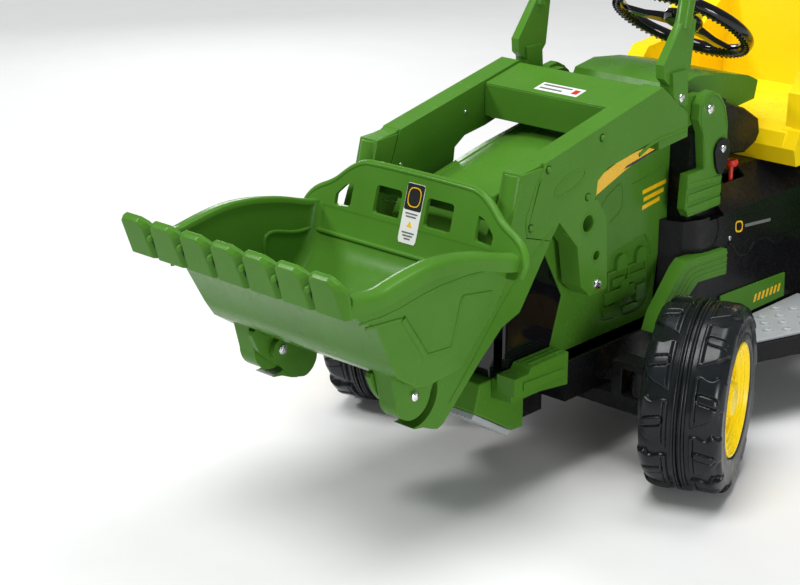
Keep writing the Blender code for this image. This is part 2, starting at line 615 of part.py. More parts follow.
def bucket_lip(mats):
    foot, tip, thickness = Vector((0, -0.6724, 0.4322)), Vector((0, -0.6910, 0.4915)), 0.0085
    up = (tip - foot).normalized()
    height = (tip - foot).length
    pitch = 2 * LIP_HALF_WIDTH / LIP_TEETH
    edge = [(-LIP_FOOT_HALF_WIDTH, 0), (LIP_FOOT_HALF_WIDTH, 0), (LIP_HALF_WIDTH, height - 0.014)]
    for tooth in range(LIP_TEETH):
        right = LIP_HALF_WIDTH - tooth * pitch
        notch = 0.014 if tooth == 0 else 0.0055
        if tooth:
            edge.append((right, height - notch))
        edge += [(right - pitch * 0.37, height), (right - pitch * 0.84, height)]
    edge.append((-LIP_HALF_WIDTH, height - 0.006))
    plate = prism(edge, 0, thickness, "Z")
    across = Vector((1, 0, 0))
    turn = Matrix((across, up, across.cross(up))).transposed().to_4x4()
    bmesh.ops.transform(plate, matrix=Matrix.Translation(foot) @ turn, verts=plate.verts)
    part("bucket_lip", mats["green"], [closed(plate)], [], (0, *BUCKET_PIVOT))


def bucket_pins(mats):
    def pin():
        profile = ((0, 0.1012), (0.0075, 0.1012), (0.0075, 0.1041), (PIVOT_PIN_RADIUS, 0.1041),
                   (PIVOT_PIN_RADIUS, 0.1584), (0.0075, 0.1584), (0.0075, 0.1600), (0.005, 0.1635), (0,
                                                                                                     0.1650))
        return [turned(profile, (0, *BUCKET_PIVOT), segments=24)], []

    both_sides("bucket_pin", mats["chrome"], pin, (0, *BUCKET_PIVOT))


# Steering and wheels
def steering(mats):
    direction = (STEERING_CENTRE - COLUMN_FOOT).normalized()
    rim = turned(arc((STEERING_RADIUS, 0), 0.011, 0, 324, 9), STEERING_CENTRE, direction, 32, ring=True)
    plate = turned(((0, -0.008), (0.034, -0.008), (0.034, 0.010), (0, 0.010)), STEERING_CENTRE, direction, 24)
    turn = Vector((0, 0, 1)).rotation_difference(direction).to_matrix().to_4x4()
    pieces = [rim, plate]
    for angle in (0, 120, 240):
        spoke = box((-0.012, 0.012), (0.02, STEERING_RADIUS), (-0.006, 0.006))
        spin = Matrix.Rotation(STEERING_REST + math.radians(angle + 180), 4, "Z")
        place = Matrix.Translation(STEERING_CENTRE) @ turn @ spin
        bmesh.ops.transform(spoke, matrix=place, verts=spoke.verts)
        pieces.append(spoke)
    part("steering_wheel", mats["gloss_black"], pieces, [], STEERING_CENTRE)
    boss = ((0, 0.0104), (0.030, 0.0104), (0.030, 0.018), (0.020, 0.026), (0, 0.028))
    part("steering_boss", mats["yellow"], [turned(boss, STEERING_CENTRE, direction, 24)], [], STEERING_CENTRE)
    start = STEERING_CENTRE - direction * 0.0084
    end = STEERING_CENTRE - direction * 0.570
    crank = box((-0.006, 0.006), (-0.002, 0.032), (0, 0.005))
    place = Matrix.Translation(end) @ turn @ Matrix.Rotation(STEERING_REST, 4, "Z")
    bmesh.ops.transform(crank, matrix=place, verts=crank.verts)
    part("steering_column", mats["steel"], [rod(end, start, 0.008, 20), crank], [], STEERING_CENTRE)


def knuckle_pin(steer):
    """Centre of the tie rod pin for a wheel steered by this angle."""
    return KINGPIN + Vector((-STEERING_ARM * math.sin(steer), STEERING_ARM * math.cos(steer), 0))


def knuckle_shape(sign):
    """The left (+1) or right (-1) steering knuckle, turned by the steering angle at rest."""
    hub = Vector((sign * KINGPIN.x, KINGPIN.y, FRONT_RADIUS))
    turn = Matrix.Rotation(STEER_REST, 4, "Z")
    barrel = rod((0, 0, 0.1350 - FRONT_RADIUS), (0, 0, 0.1778 - FRONT_RADIUS), 0.0165, 24)
    reach = sign * (STUB_LENGTH + FRONT_WIDTH / 2 - AXLE_SETBACK)
    stub = rod((0, 0, 0), (reach, 0, 0), AXLE_ROD_RADIUS, 24)
    collar = rod((0, 0, 0), (sign * 0.0235, 0, 0), 0.011, 24)
    arm = box((-0.009, 0.009), (0, STEERING_ARM + 0.009), (-0.0140, -0.0080))
    pin = rod((0, STEERING_ARM, -0.012), (0, STEERING_ARM, 0.004), 0.003, 16)
    pieces = [barrel, stub, collar, arm, pin]
    for piece in pieces:
        bmesh.ops.transform(piece, matrix=Matrix.Translation(hub) @ turn, verts=piece.verts)
    return pieces, hub


def knuckles(mats):
    for side, sign in (("left", 1), ("right", -1)):
        pieces, hub = knuckle_shape(sign)
        part(f"steering_knuckle_{side}", mats["body_black"], pieces, [], hub)


def tie_rod(mats):
    pin = knuckle_pin(STEER_REST)
    shift = pin.x - KINGPIN.x
    z = (0.1424, 0.1484)
    half = KINGPIN.x
    bar = box((-half + shift, half + shift), (pin.y - 0.005, pin.y + 0.008), z)
    pieces, cuts = [bar], []
    for sign in (-1, 1):
        x = sign * half + shift
        pieces.append(box((x - 0.010, x + 0.010), (pin.y - 0.009, pin.y + 0.013), z))
        cuts.append(box((x - 0.0036, x + 0.0036), (pin.y - 0.0045, pin.y + 0.0080), (0.13, 0.16)))
    part("tie_rod", mats["steel"], pieces, cuts, (shift, pin.y, z[0]))


def tyre_profile(radius, width, bore):
    """A blown tyre's wall, open towards the hub that it sits on."""
    half = width / 2
    shoulder = 0.16 * width
    outer = arc((radius - shoulder, half - shoulder), shoulder, 0, 90, 3) + [(bore + 0.010, half - 0.004),
                                                                             (bore, half - 0.010)]
    wall = TYRE_WALL
    inner = [(bore, half - 0.010 - wall), (bore + 0.010, half - 0.004 - wall),
             (radius - shoulder, half - wall),
             (radius - wall, half - shoulder)]
    upper = outer + inner
    return upper + [(r, -a) for r, a in reversed(upper)]


def wheel(name, centre, axis, radius, width, hub_radius, mats):
    tyre = turned(tyre_profile(radius, width, hub_radius + GAP), centre, axis, 40, ring=True)
    part(f"{name}_tyre", mats["tyre"], [tyre], [], centre)
    half = width / 2
    bore = AXLE_ROD_RADIUS + RUNNING_FIT
    rim = half - 0.004
    back = rim - 0.022
    step = hub_radius / 0.090
    profile = [(0, half - AXLE_SETBACK + GAP), (bore, half - AXLE_SETBACK + GAP), (bore, -half + 0.010),
               (hub_radius * 0.25, -half + 0.010), (hub_radius * 0.25, back),
               (hub_radius - 0.008, back), (hub_radius - 0.004, -half + 0.013), (hub_radius, -half + 0.013),
               (hub_radius, rim), (hub_radius - 0.005, rim), (hub_radius - 0.009 * step, rim - 0.006),
               (hub_radius - 0.024 * step, rim - 0.013), (hub_radius * 0.44, rim - 0.014),
               (hub_radius * 0.36, rim - 0.006), (hub_radius * 0.20, rim - 0.004), (0, rim - 0.004)]
    part(f"{name}_hub", mats["yellow"], [turned(profile, centre, axis, 28)], [], centre)


def wheels(mats):
    for side, sign in (("left", 1), ("right", -1)):
        normal = Vector((sign * math.cos(STEER_REST), sign * math.sin(STEER_REST), 0))
        hub = Vector((sign * KINGPIN.x, KINGPIN.y, FRONT_RADIUS)) + STUB_LENGTH * normal
        wheel(f"front_{side}", hub, normal, FRONT_RADIUS, FRONT_WIDTH, FRONT_HUB_RADIUS, mats)
        rear = (sign * REAR_WHEEL_X, REAR_AXLE_Y, REAR_RADIUS)
        wheel(f"rear_{side}", rear, (sign, 0, 0), REAR_RADIUS, REAR_WIDTH, REAR_HUB_RADIUS, mats)


# Driver's place
def seat(mats):
    z = SEAT_TOP_Z
    pan = [(0.425, z), (0.416, z + 0.030), (0.424, z + 0.055), (0.450, z + 0.066), (0.660, z + 0.050),
           (0.712, z + 0.062),
           (0.760, z + 0.340), (0.780, z + 0.356), (0.806, z + 0.350), (0.812, z + 0.330), (0.786, z)]
    wing = [(0.440, z + 0.040), (0.442, z + 0.120), (0.470, z + 0.150), (0.640, z + 0.165),
            (0.760, z + 0.250), (0.790, z + 0.250),
            (0.770, z + 0.040)]
    pieces = [prism(pan, -0.166, 0.166)]
    for low, high in ((-SEAT_HALF_WIDTH, -0.155), (0.155, SEAT_HALF_WIDTH)):
        pieces.append(prism(wing, low, high))
        pieces.append(prism([(0.425, z), (0.416, z + 0.030), (0.430, z + 0.060), (0.770, z + 0.060),
                             (0.770, z)], low, high))
    pan_room = [(0.431, z - 0.010), (0.423, z + 0.030), (0.430, z + 0.050), (0.452, z + 0.060),
                (0.660, z + 0.044),
                (0.717, z + 0.057), (0.765, z + 0.336), (0.782, z + 0.350), (0.801, z + 0.345), (0.805,
                                                                                                 z + 0.330),
                (0.779, z - 0.010)]
    wing_room = [(0.446, z - 0.010), (0.446, z + 0.117), (0.473, z + 0.144), (0.638, z + 0.159),
                 (0.757, z + 0.243),
                 (0.782, z + 0.243), (0.764, z - 0.010)]
    rooms = [prism(pan_room, -0.160, 0.160)]
    for low, high in ((-SEAT_HALF_WIDTH + 0.006, -0.161), (0.161, SEAT_HALF_WIDTH - 0.006)):
        rooms.append(prism(wing_room, low, high))
    fender_room = [box(sorted((sign * 0.1645, sign * 0.2)), (0.570, 0.900),
                       (z - 0.01, z + 0.034)) for sign in (-1, 1)]
    part("seat", mats["yellow"], pieces, rooms + fender_room, (0, 0.600, z))


def controls(mats):
    x, y, z = 0.120, 0.334, 0.330
    stick = rod((x, y, z), (x, y, 0.418), 0.004, 16)
    pivot = rod((x - 0.006, y, z), (x + 0.006, y, z), 0.008, 16)
    knob = turned(((0, 0.413), (0.010, 0.413), (0.012, 0.418), (0.010, 0.424), (0, 0.425)), (x, y, 0),
                  (0, 0, 1), 20)
    part("gear_lever", mats["red"], [stick, pivot, knob], [], (x, y, z))
    hinge = Vector((-0.210, 0.350, FOOTPLATE_TOP_Z + 0.0045))
    wedge = [(-0.095, -0.004), (-0.095, 0.006), (-0.010, 0.0035)] + arc((0, 0), 0.0035, 90, -90,
                                                                        4) + [(-0.010, -0.004)]
    tilt = Matrix.Translation(hinge) @ Matrix.Rotation(math.radians(-12), 4, "X")
    pedal = prism(wedge, -0.032, 0.032)
    bmesh.ops.transform(pedal, matrix=tilt, verts=pedal.verts)
    part("accelerator_pedal", mats["body_black"], [pedal], [], hinge)


def main():
    clear_scene()
    mats = {
        "green": material("loader_green", (0.060, 0.230, 0.022), 0.32),
        "body_black": material("body_black", (0.018, 0.018, 0.020), 0.45),
        "gloss_black": material("gloss_black", (0.008, 0.008, 0.010), 0.12),
        "yellow": material("wheel_yellow", (0.900, 0.560, 0.010), 0.35),
        "tyre": material("tyre_black", (0.025, 0.026, 0.028), 0.42),
        "grey": material("plate_grey", (0.400, 0.410, 0.420), 0.50),
        "steel": material("steel", (0.550, 0.560, 0.580), 0.35, 1.0),
        "chrome": material("chrome", (0.800, 0.810, 0.820), 0.12, 1.0),
        "red": material("knob_red", (0.500, 0.020, 0.015), 0.35),
    }
    for build in (chassis, front_axle, front_end, bonnet, grille, body, dash, footplates, body_trim, fenders,
                  drive,
                  uprights, boom_arms, boom_legs, boom_cross_members, boom_levers, bucket, bucket_lip, bucket_pins,
                  steering, knuckles, tie_rod, wheels, seat, controls):
        build(mats)


main()
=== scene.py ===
"""Looks of the toy front loader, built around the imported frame, in metres on the frame's own axes.

Outlines are drawn from the same datum as the solids: y is measured from the steered front wheel's hub, and
piece() moves them by DATUM_Y into the frame.
"""
import json
import math

import bmesh
import bpy
import numpy as np
from mathutils import Matrix, Vector


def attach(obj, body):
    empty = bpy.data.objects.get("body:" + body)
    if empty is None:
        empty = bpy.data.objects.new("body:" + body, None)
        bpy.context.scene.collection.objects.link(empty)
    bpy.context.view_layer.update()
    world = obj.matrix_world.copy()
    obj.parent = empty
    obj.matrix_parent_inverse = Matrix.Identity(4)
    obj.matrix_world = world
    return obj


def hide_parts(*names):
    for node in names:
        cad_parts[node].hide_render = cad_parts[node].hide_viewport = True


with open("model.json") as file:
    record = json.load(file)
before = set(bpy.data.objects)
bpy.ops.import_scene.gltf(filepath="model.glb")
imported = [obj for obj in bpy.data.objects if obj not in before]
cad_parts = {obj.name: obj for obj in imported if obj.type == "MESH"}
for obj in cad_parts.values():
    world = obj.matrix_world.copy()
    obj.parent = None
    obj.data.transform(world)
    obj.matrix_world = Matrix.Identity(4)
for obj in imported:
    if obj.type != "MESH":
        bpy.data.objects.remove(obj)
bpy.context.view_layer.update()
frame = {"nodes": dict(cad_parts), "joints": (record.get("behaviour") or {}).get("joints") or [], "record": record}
JOINTS = {joint["name"]: joint for joint in frame["joints"]}
BODY = {node: body for body, nodes in frame["record"]["behaviour"]["bodies"].items() for node in nodes}
SLOT = {row["node"]: row["material_slot"] for row in frame["record"]["subparts"]}

BOOM_PIVOT_Y = 0.19            # the boom's pivot in the drawing datum
DATUM_Y = JOINTS["boom_lift"]["pos_m"][1] - BOOM_PIVOT_Y
SIDES = (("left", 1), ("right", -1))
PANEL_X = 0.1125                # outer face of the bonnet's side panels
ARM_X = 0.161                   # outer face of the boom arms
ARM_INNER_X = 0.1237            # their inner face
KNEE_X = 0.1425                 # middle of the round nose at the boom's knee
ROCKER_X = 0.169                # outer face of the rocker panels
SEAT_X = 0.1905                 # outer face of the seat's sides
STRIP_X = 0.1778                # outer face of the mudguard strips
FOOTPLATE_TOP = 0.157
STEER_REST = math.radians(21.8)  # how far the road wheels are turned at rest
STEER_RATIO = 0.55              # road wheel to steering wheel
BODY_X = 0.165                  # outer face of the body
BUCKET_PIVOT = (-0.497, 0.259)  # y, z


# Materials
def plastic(name, colour, roughness, grain=0.15, mottle=0.05, coat=0.0, metallic=0.0, shine=0.5, ior=1.5):
    """Moulded plastic: colour and gloss that drift a little, fine grain, and a faint ripple of the mould."""
    made = bpy.data.materials.new(name)
    made.use_nodes = True
    nodes, links = made.node_tree.nodes, made.node_tree.links
    shader = nodes["Principled BSDF"]
    shader.inputs["Metallic"].default_value = metallic
    shader.inputs["Coat Weight"].default_value = coat
    shader.inputs["Coat Roughness"].default_value = 0.06
    shader.inputs["Specular IOR Level"].default_value = shine
    shader.inputs["IOR"].default_value = ior
    place = nodes.new("ShaderNodeTexCoord")

    def noise(scale, detail):
        made_noise = nodes.new("ShaderNodeTexNoise")
        made_noise.inputs["Scale"].default_value = scale
        made_noise.inputs["Detail"].default_value = detail
        links.new(place.outputs["Object"], made_noise.inputs["Vector"])
        return made_noise.outputs["Fac"]

    def spread(source, low, high):
        ramp = nodes.new("ShaderNodeMapRange")
        ramp.inputs["From Min"].default_value = 0.3
        ramp.inputs["From Max"].default_value = 0.7
        ramp.inputs["To Min"].default_value = low
        ramp.inputs["To Max"].default_value = high
        links.new(source, ramp.inputs["Value"])
        return ramp.outputs["Result"]

    shade = nodes.new("ShaderNodeMix")
    shade.data_type = "RGBA"
    dark = [c * (1 - mottle) for c in colour]
    light = [min(1.0, c * (1 + mottle) + 0.002) for c in colour]
    shade.inputs["A"].default_value = (*dark, 1)
    shade.inputs["B"].default_value = (*light, 1)
    links.new(spread(noise(9.0, 4.0), 0.0, 1.0), shade.inputs["Factor"])
    links.new(shade.outputs["Result"], shader.inputs["Base Color"])
    links.new(spread(noise(60.0, 5.0), max(0.02, roughness - 0.05), roughness + 0.07),
              shader.inputs["Roughness"])

    ripple = nodes.new("ShaderNodeBump")
    ripple.inputs["Strength"].default_value = 0.035
    ripple.inputs["Distance"].default_value = 0.0012
    links.new(noise(28.0, 2.0), ripple.inputs["Height"])
    fine = nodes.new("ShaderNodeBump")
    fine.inputs["Strength"].default_value = grain
    fine.inputs["Distance"].default_value = 0.0002
    links.new(noise(1400.0, 2.0), fine.inputs["Height"])
    links.new(ripple.outputs["Normal"], fine.inputs["Normal"])
    links.new(fine.outputs["Normal"], shader.inputs["Normal"])
    made.diffuse_color = (*colour, 1)
    return made


GREEN = plastic("loader_green", (0.064, 0.192, 0.018), 0.22, shine=0.4, ior=1.22)
# Dark green used as painted shade: the disc round each arm screw and the wedge under each lip boss stand in for
# the shadow in a recess.
SHADE_GREEN = plastic("painted_shade_green", (0.01, 0.045, 0.004), 0.35, shine=0.3, ior=1.25)
BLACK = plastic("body_black", (0.0055, 0.0055, 0.0065), 0.26, grain=0.08, shine=0.16)
GLOSS_BLACK = plastic("gloss_black", (0.0035, 0.0035, 0.005), 0.06, grain=0.02, coat=0.2, shine=0.35)
YELLOW = plastic("wheel_yellow", (0.96, 0.7, 0.003), 0.28, grain=0.08, mottle=0.03, shine=0.25)
SEAT_YELLOW = plastic("seat_yellow", (0.9, 0.64, 0.004), 0.3, grain=0.08, mottle=0.03, shine=0.25)
TYRE = plastic("tyre_black", (0.0085, 0.0105, 0.012), 0.22, grain=0.12, mottle=0.1, shine=0.26)
GREY = plastic("plate_grey", (0.36, 0.38, 0.39), 0.42, grain=0.35)
STEEL = plastic("steel", (0.56, 0.57, 0.59), 0.3, metallic=1.0)
CHROME = plastic("chrome", (0.82, 0.83, 0.85), 0.12, grain=0.05, metallic=1.0)
RED = plastic("knob_red", (0.56, 0.022, 0.012), 0.3)
DECAL_YELLOW = plastic("decal_yellow", (0.9, 0.52, 0.006), 0.25, grain=0.02, mottle=0.04)
DECAL_WHITE = plastic("decal_white", (0.78, 0.78, 0.76), 0.35, grain=0.02, mottle=0.03)
DECAL_GREY = plastic("decal_grey", (0.15, 0.15, 0.155), 0.4, grain=0.02)
DECAL_DARK = plastic("decal_dark", (0.012, 0.014, 0.012), 0.25, grain=0.02)
OF_SLOT = {"loader_green": GREEN, "body_black": BLACK, "gloss_black": GLOSS_BLACK, "wheel_yellow": YELLOW,
           "tyre_black": TYRE, "plate_grey": GREY, "steel": STEEL, "chrome": CHROME, "knob_red": RED}
SLOT_OF = {finish: slot for slot, finish in OF_SLOT.items()}
SLOT_OF[SEAT_YELLOW] = "wheel_yellow"


# Shapes
def closed(bm):
    bmesh.ops.recalc_face_normals(bm, faces=bm.faces)
    return bm


def moved(bm, matrix):
    bmesh.ops.transform(bm, matrix=matrix, verts=bm.verts)
    return bm


def prism(outline, low, high, axis="X"):
    """A straight solid: the outline lies across the axis, in the order (y, z), (x, z) or (x, y)."""
    place = {"X": lambda a, b, t: (t, a, b), "Y": lambda a, b, t: (a, t, b), "Z": lambda a, b,
             t: (a, b, t)}[axis]
    bm = bmesh.new()
    loops = [[bm.verts.new(place(a, b, t)) for a, b in outline] for t in (low, high)]
    for loop in loops:
        bm.faces.new(loop)
    for i in range(len(outline)):
        j = (i + 1) % len(outline)
        bm.faces.new((loops[0][i], loops[0][j], loops[1][j], loops[1][i]))
    return closed(bm)


def box(x, y, z):
    return prism(((y[0], z[0]), (y[1], z[0]), (y[1], z[1]), (y[0], z[1])), x[0], x[1])


def side_prism(outline, sign, near, far):
    """A prism on one side of the middle plane, between two distances from it."""
    return prism(outline, *sorted((sign * near, sign * far)))


def side_box(sign, near, far, y, z):
    return box(sorted((sign * near, sign * far)), y, z)


def loft(sections):
    """A solid through closed rings of equal length, capped at both ends."""
    bm = bmesh.new()
    rings = [[bm.verts.new(point) for point in section] for section in sections]
    count = len(rings[0])
    for low, high in zip(rings, rings[1:]):
        for i in range(count):
            j = (i + 1) % count
            bm.faces.new((low[i], low[j], high[j], high[i]))
    bm.faces.new(rings[0])
    bm.faces.new(rings[-1])
    return closed(bm)


def turned(profile, centre=(0, 0, 0), axis=(1, 0, 0), segments=48, ring=False):
    """A turned solid: the profile is (radius, distance along the axis); a ring's profile closes on itself."""
    bm = bmesh.new()
    rows = []
    for radius, along in profile:
        angles = [2 * math.pi * i / segments for i in range(segments if radius > 0 else 1)]
        rows.append([bm.verts.new((radius * math.cos(a), radius * math.sin(a), along)) for a in angles])
    pairs = list(zip(rows, rows[1:])) + ([(rows[-1], rows[0])] if ring else [])
    for first, second in pairs:
        for i in range(segments):
            j = (i + 1) % segments
            corners = [first[i % len(first)], first[j % len(first)], second[j % len(second)],
                       second[i % len(second)]]
            unique = list(dict.fromkeys(corners))
            if len(unique) > 2:
                bm.faces.new(unique)
    turn = Vector((0, 0, 1)).rotation_difference(Vector(axis)).to_matrix().to_4x4()
    return closed(moved(bm, Matrix.Translation(Vector(centre)) @ turn))


def rod(start, end, radius, segments=24):
    start, end = Vector(start), Vector(end)
    length = (end - start).length
    return turned(((0, 0), (radius, 0), (radius, length), (0, length)), start, end - start, segments)


def arc(centre, radius, first, last, steps):
    angles = [math.radians(first + (last - first) * i / steps) for i in range(steps + 1)]
    return [(centre[0] + radius * math.cos(a), centre[1] + radius * math.sin(a)) for a in angles]


def rounded(points, amount=0.25, rounds=2, loop=False):
    """Corner cutting: each round trims every corner of the line."""
    points = [Vector(p) for p in points]
    for _ in range(rounds):
        cut = [] if loop else [points[0]]
        ends = list(zip(points, points[1:])) + ([(points[-1], points[0])] if loop else [])
        for k, (a, b) in enumerate(ends):
            if loop or k > 0:
                cut.append(a.lerp(b, amount))
            if loop or k < len(ends) - 1:
                cut.append(a.lerp(b, 1 - amount))
        if not loop:
            cut.append(points[-1])
        points = cut
    return points


def level_line(x, points, amount=0.2):
    """A line with rounded corners on a side face, through (y, z) points."""
    return rounded([(x, y, z) for y, z in points], amount)


def flat_rounded(outline, amount=0.25, rounds=2):
    return [(p.x, p.y) for p in rounded([(a, b, 0) for a, b in outline], amount, rounds, loop=True)]


def sweep(path, profile, side_of, loop=False):
    """A solid along a path: the profile's first number goes along side_of(i), the second across it."""
    path = [Vector(p) for p in path]
    count = len(path)
    bm = bmesh.new()
    rings = []
    for i, here in enumerate(path):
        before = path[(i - 1) % count] if loop or i > 0 else here
        after = path[(i + 1) % count] if loop or i < count - 1 else here
        tangent = (after - before).normalized()
        side = Vector(side_of(i))
        side = (side - tangent * side.dot(tangent)).normalized()
        up = tangent.cross(side).normalized()
        rings.append([bm.verts.new(here + side * a + up * b) for a, b in profile])
    pairs = list(zip(rings, rings[1:])) + ([(rings[-1], rings[0])] if loop else [])
    size = len(profile)
    for first, second in pairs:
        for i in range(size):
            j = (i + 1) % size
            bm.faces.new((first[i], first[j], second[j], second[i]))
    if not loop:
        bm.faces.new(rings[0])
        bm.faces.new(rings[-1])
    return closed(bm)


def rib(path, normal, width, height, sink=0.0006, loop=False):
    """A low rounded ridge on a surface, along the path, standing up along the normal."""
    normal = Vector(normal).normalized()
    half = width / 2
    arch = [(-sink, -half), (height * 0.55, -half * 0.86), (height * 0.92, -half * 0.45), (height, 0),
            (height * 0.92, half * 0.45), (height * 0.55, half * 0.86), (-sink, half)]
    return sweep(path, arch, lambda i: normal, loop)


def helper_object(bm):
    mesh = bpy.data.meshes.new("helper")
    bm.to_mesh(mesh)
    bm.free()
    made = bpy.data.objects.new("helper", mesh)
    bpy.context.scene.collection.objects.link(made)
    return made


def combined(pieces, cuts=()):
    """One bmesh: the pieces united and the cuts taken away."""
    base = helper_object(pieces[0])
    helpers = [base]
    for operation, shapes in (("UNION", pieces[1:]), ("DIFFERENCE", cuts)):
        for shape in shapes:
            helper = helper_object(shape)
            helpers.append(helper)
            step = base.modifiers.new(operation, "BOOLEAN")
            step.operation = operation
            step.object = helper
    evaluated = base.evaluated_get(bpy.context.evaluated_depsgraph_get())
    bm = bmesh.new()
    bm.from_mesh(evaluated.to_mesh())
    evaluated.to_mesh_clear()
    for helper in helpers:
        mesh = helper.data
        bpy.data.objects.remove(helper)
        bpy.data.meshes.remove(mesh)
    return bm


def joined(shapes):
    """Several closed shapes in one mesh, not united."""
    bm = bmesh.new()
    for shape in shapes:
        mesh = bpy.data.meshes.new("helper")
        shape.to_mesh(mesh)
        shape.free()
        bm.from_mesh(mesh)
        bpy.data.meshes.remove(mesh)
    return bm


def node_shape(node):
    """A CAD node's mesh as a welded bmesh with its flat faces whole, back in the drawing datum."""
    bm = bmesh.new()
    bm.from_mesh(frame["nodes"][node].data)
    bmesh.ops.remove_doubles(bm, verts=bm.verts, dist=2e-5)
    bmesh.ops.dissolve_limit(bm, angle_limit=math.radians(0.4), verts=bm.verts, edges=bm.edges)
    bmesh.ops.translate(bm, vec=(0, -DATUM_Y, 0), verts=bm.verts)
    return bm


# Pieces
def piece(name, bm, finish, body, replaces=(), bevel=0.0, segments=2, limit=30, smooth=35):
    """A shown piece, drawn at the datum, riding on a body."""
    bmesh.ops.translate(bm, vec=(0, DATUM_Y, 0), verts=bm.verts)
    bmesh.ops.dissolve_degenerate(bm, dist=1e-6, edges=bm.edges)
    mesh = bpy.data.meshes.new(name)
    bm.to_mesh(mesh)
    bm.free()
    mesh.materials.append(finish)
    mesh.shade_smooth()
    made = bpy.data.objects.new(name, mesh)
    bpy.context.scene.collection.objects.link(made)
    if bevel:
        edge = made.modifiers.new("edge", "BEVEL")
        edge.width = bevel
        edge.segments = segments
        edge.limit_method = "ANGLE"
        edge.angle_limit = math.radians(limit)
        edge.use_clamp_overlap = True
        flat = made.modifiers.new("flat", "WEIGHTED_NORMAL")
        flat.weight = 80
    else:
        mesh.set_sharp_from_angle(angle=math.radians(smooth))
    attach(made, body)
    if replaces:
        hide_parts(*replaces)
    return made


def refined(node, bevel, finish=None, segments=2, limit=30, extra=(), cuts=()):
    """The CAD node's own shape with rounded edges, and any extra shapes united with it or cut from it."""
    shape = node_shape(node)
    if extra or cuts:
        shape = combined([shape, *extra], cuts)
    return piece(f"{node}_skin", shape, finish or OF_SLOT[SLOT[node]], BODY[node], (node,), bevel,
                 segments, limit)


def screw(name, centre, normal, radius, finish, body, height=0.0025, slotted=True):
    """A screw or bolt head: a low dome with a cross recess, seated on a surface."""
    normal = Vector(normal).normalized()
    dome = [(0, -0.002), (radius, -0.002), (radius, height * 0.35), (radius * 0.92, height * 0.7),
            (radius * 0.7, height * 0.93), (radius * 0.35, height), (0, height)]
    head = turned(dome, centre, normal, 32)
    if slotted:
        turn = Vector((0, 0, 1)).rotation_difference(normal).to_matrix().to_4x4()
        cuts = []
        for angle in (35, 125):
            bar = box((-radius * 0.62, radius * 0.62), (-radius * 0.13, radius * 0.13),
                      (height * 0.45, height * 1.5))
            place = Matrix.Translation(Vector(centre)) @ turn @ Matrix.Rotation(math.radians(angle), 4, "Z")
            cuts.append(moved(bar, place))
        head = combined([head], cuts)
    return piece(name, head, finish, body)


def plug(name, centre, normal, body):
    """A green screw head on a dark disc; the disc is painted shade, standing for the shadow in the recess round
    the screw.
    """
    # Painted shade: a dark disc barely proud of the arm, in place of the shadow in the screw's recess.
    ring = turned([(0, -0.001), (0.0066, -0.001), (0.0066, 0.0003), (0, 0.0003)], centre, normal, 32)
    piece(f"{name}_ring", ring, SHADE_GREEN, body)
    screw(name, centre, normal, 0.0048, GREEN, body, 0.0042, slotted=False)


# Bucket
WALL = 0.0045
RIM = ((-0.668, 0.462), (-0.653, 0.458), (-0.632, 0.455), (-0.61, 0.4548), (-0.59, 0.4592), (-0.565, 0.464),
       (-0.534, 0.4685), (-0.51, 0.47), (-0.49, 0.4692), (-0.465, 0.467), (-0.43, 0.461), (-0.4, 0.4545),
       (-0.36, 0.442), (-0.334, 0.4365))
PROFILE = ((-0.658, 0.427), (-0.606, 0.398), (-0.573, 0.335), (-0.557, 0.31), (-0.521, 0.286), (-0.5, 0.28),
           (-0.43, 0.287), (-0.417, 0.3), (-0.36, 0.357), (-0.341, 0.392), (-0.329, 0.432))
BACK_PLATE = ((0.206, 0.4), (0.2155, 0.405), (0.2215, 0.428), (0.216, 0.441), (0.206, 0.452), (0.193, 0.46),
              (0.178, 0.4665), (0.162, 0.4755), (0.148, 0.488), (0.134, 0.4985), (0.118, 0.507), (0.1, 0.511))
BACK_WINDOW = ((0.025, 0.438), (0.077, 0.438), (0.077, 0.48), (0.025, 0.48))
CORNER_HOLE = ((0.1235, 0.438), (0.156, 0.435), (0.157, 0.451), (0.139, 0.469), (0.1235, 0.475))
INNER_LUG = ((-0.553, 0.303), (-0.536, 0.265), (-0.5218, 0.2489), (-0.4985, 0.233), (-0.48, 0.217),
             (-0.461, 0.2016), (-0.44, 0.1965), (-0.425, 0.205), (-0.4155, 0.219), (-0.415, 0.245),
             (-0.43, 0.291))
LEAN = 0.29                     # the back plate leans back this much for each unit of height
LEAN_Y, LEAN_Z = -0.3335, 0.435


def bucket_half(z):
    return 0.186 + (z - 0.28) / 0.17 * 0.01


def inset(outline, distance):
    area = sum(a[0] * b[1] - b[0] * a[1] for a, b in zip(outline, outline[1:] + outline[:1]))
    turn = 1 if area > 0 else -1
    points = []
    for before, here, after in zip(outline[-1:] + outline[:-1], outline, outline[1:] + outline[:1]):
        first = Vector((here[0] - before[0], here[1] - before[1])).normalized()
        second = Vector((after[0] - here[0], after[1] - here[1])).normalized()
        normal = Vector((-(first + second).y, (first + second).x)).normalized() * turn
        stretch = distance / max(0.5, abs(normal.dot(Vector((-first.y, first.x)))))
        points.append((here[0] + normal.x * stretch, here[1] + normal.y * stretch))
    return points


def bucket_solid(outline, margin, corner):
    """The bucket's body with its long corners rounded."""
    shape = loft([[(sign * (bucket_half(z) - margin), y, z) for y, z in outline] for sign in (-1, 1)])
    creases = [e for e in shape.edges if e.calc_face_angle(0) > math.radians(50)]
    low = [e for e in creases if max(v.co.z for v in e.verts) < 0.434]
    bmesh.ops.bevel(shape, geom=low, offset=corner, segments=6, profile=0.5, affect="EDGES",
                    clamp_overlap=True)
    return closed(shape)


def leaned(outline, front, back):
    """A plate across the bucket that leans like its back; the outline is (x, z)."""
    return loft([[(x, y + (z - LEAN_Z) * LEAN, z) for x, z in outline] for y in (front, back)])


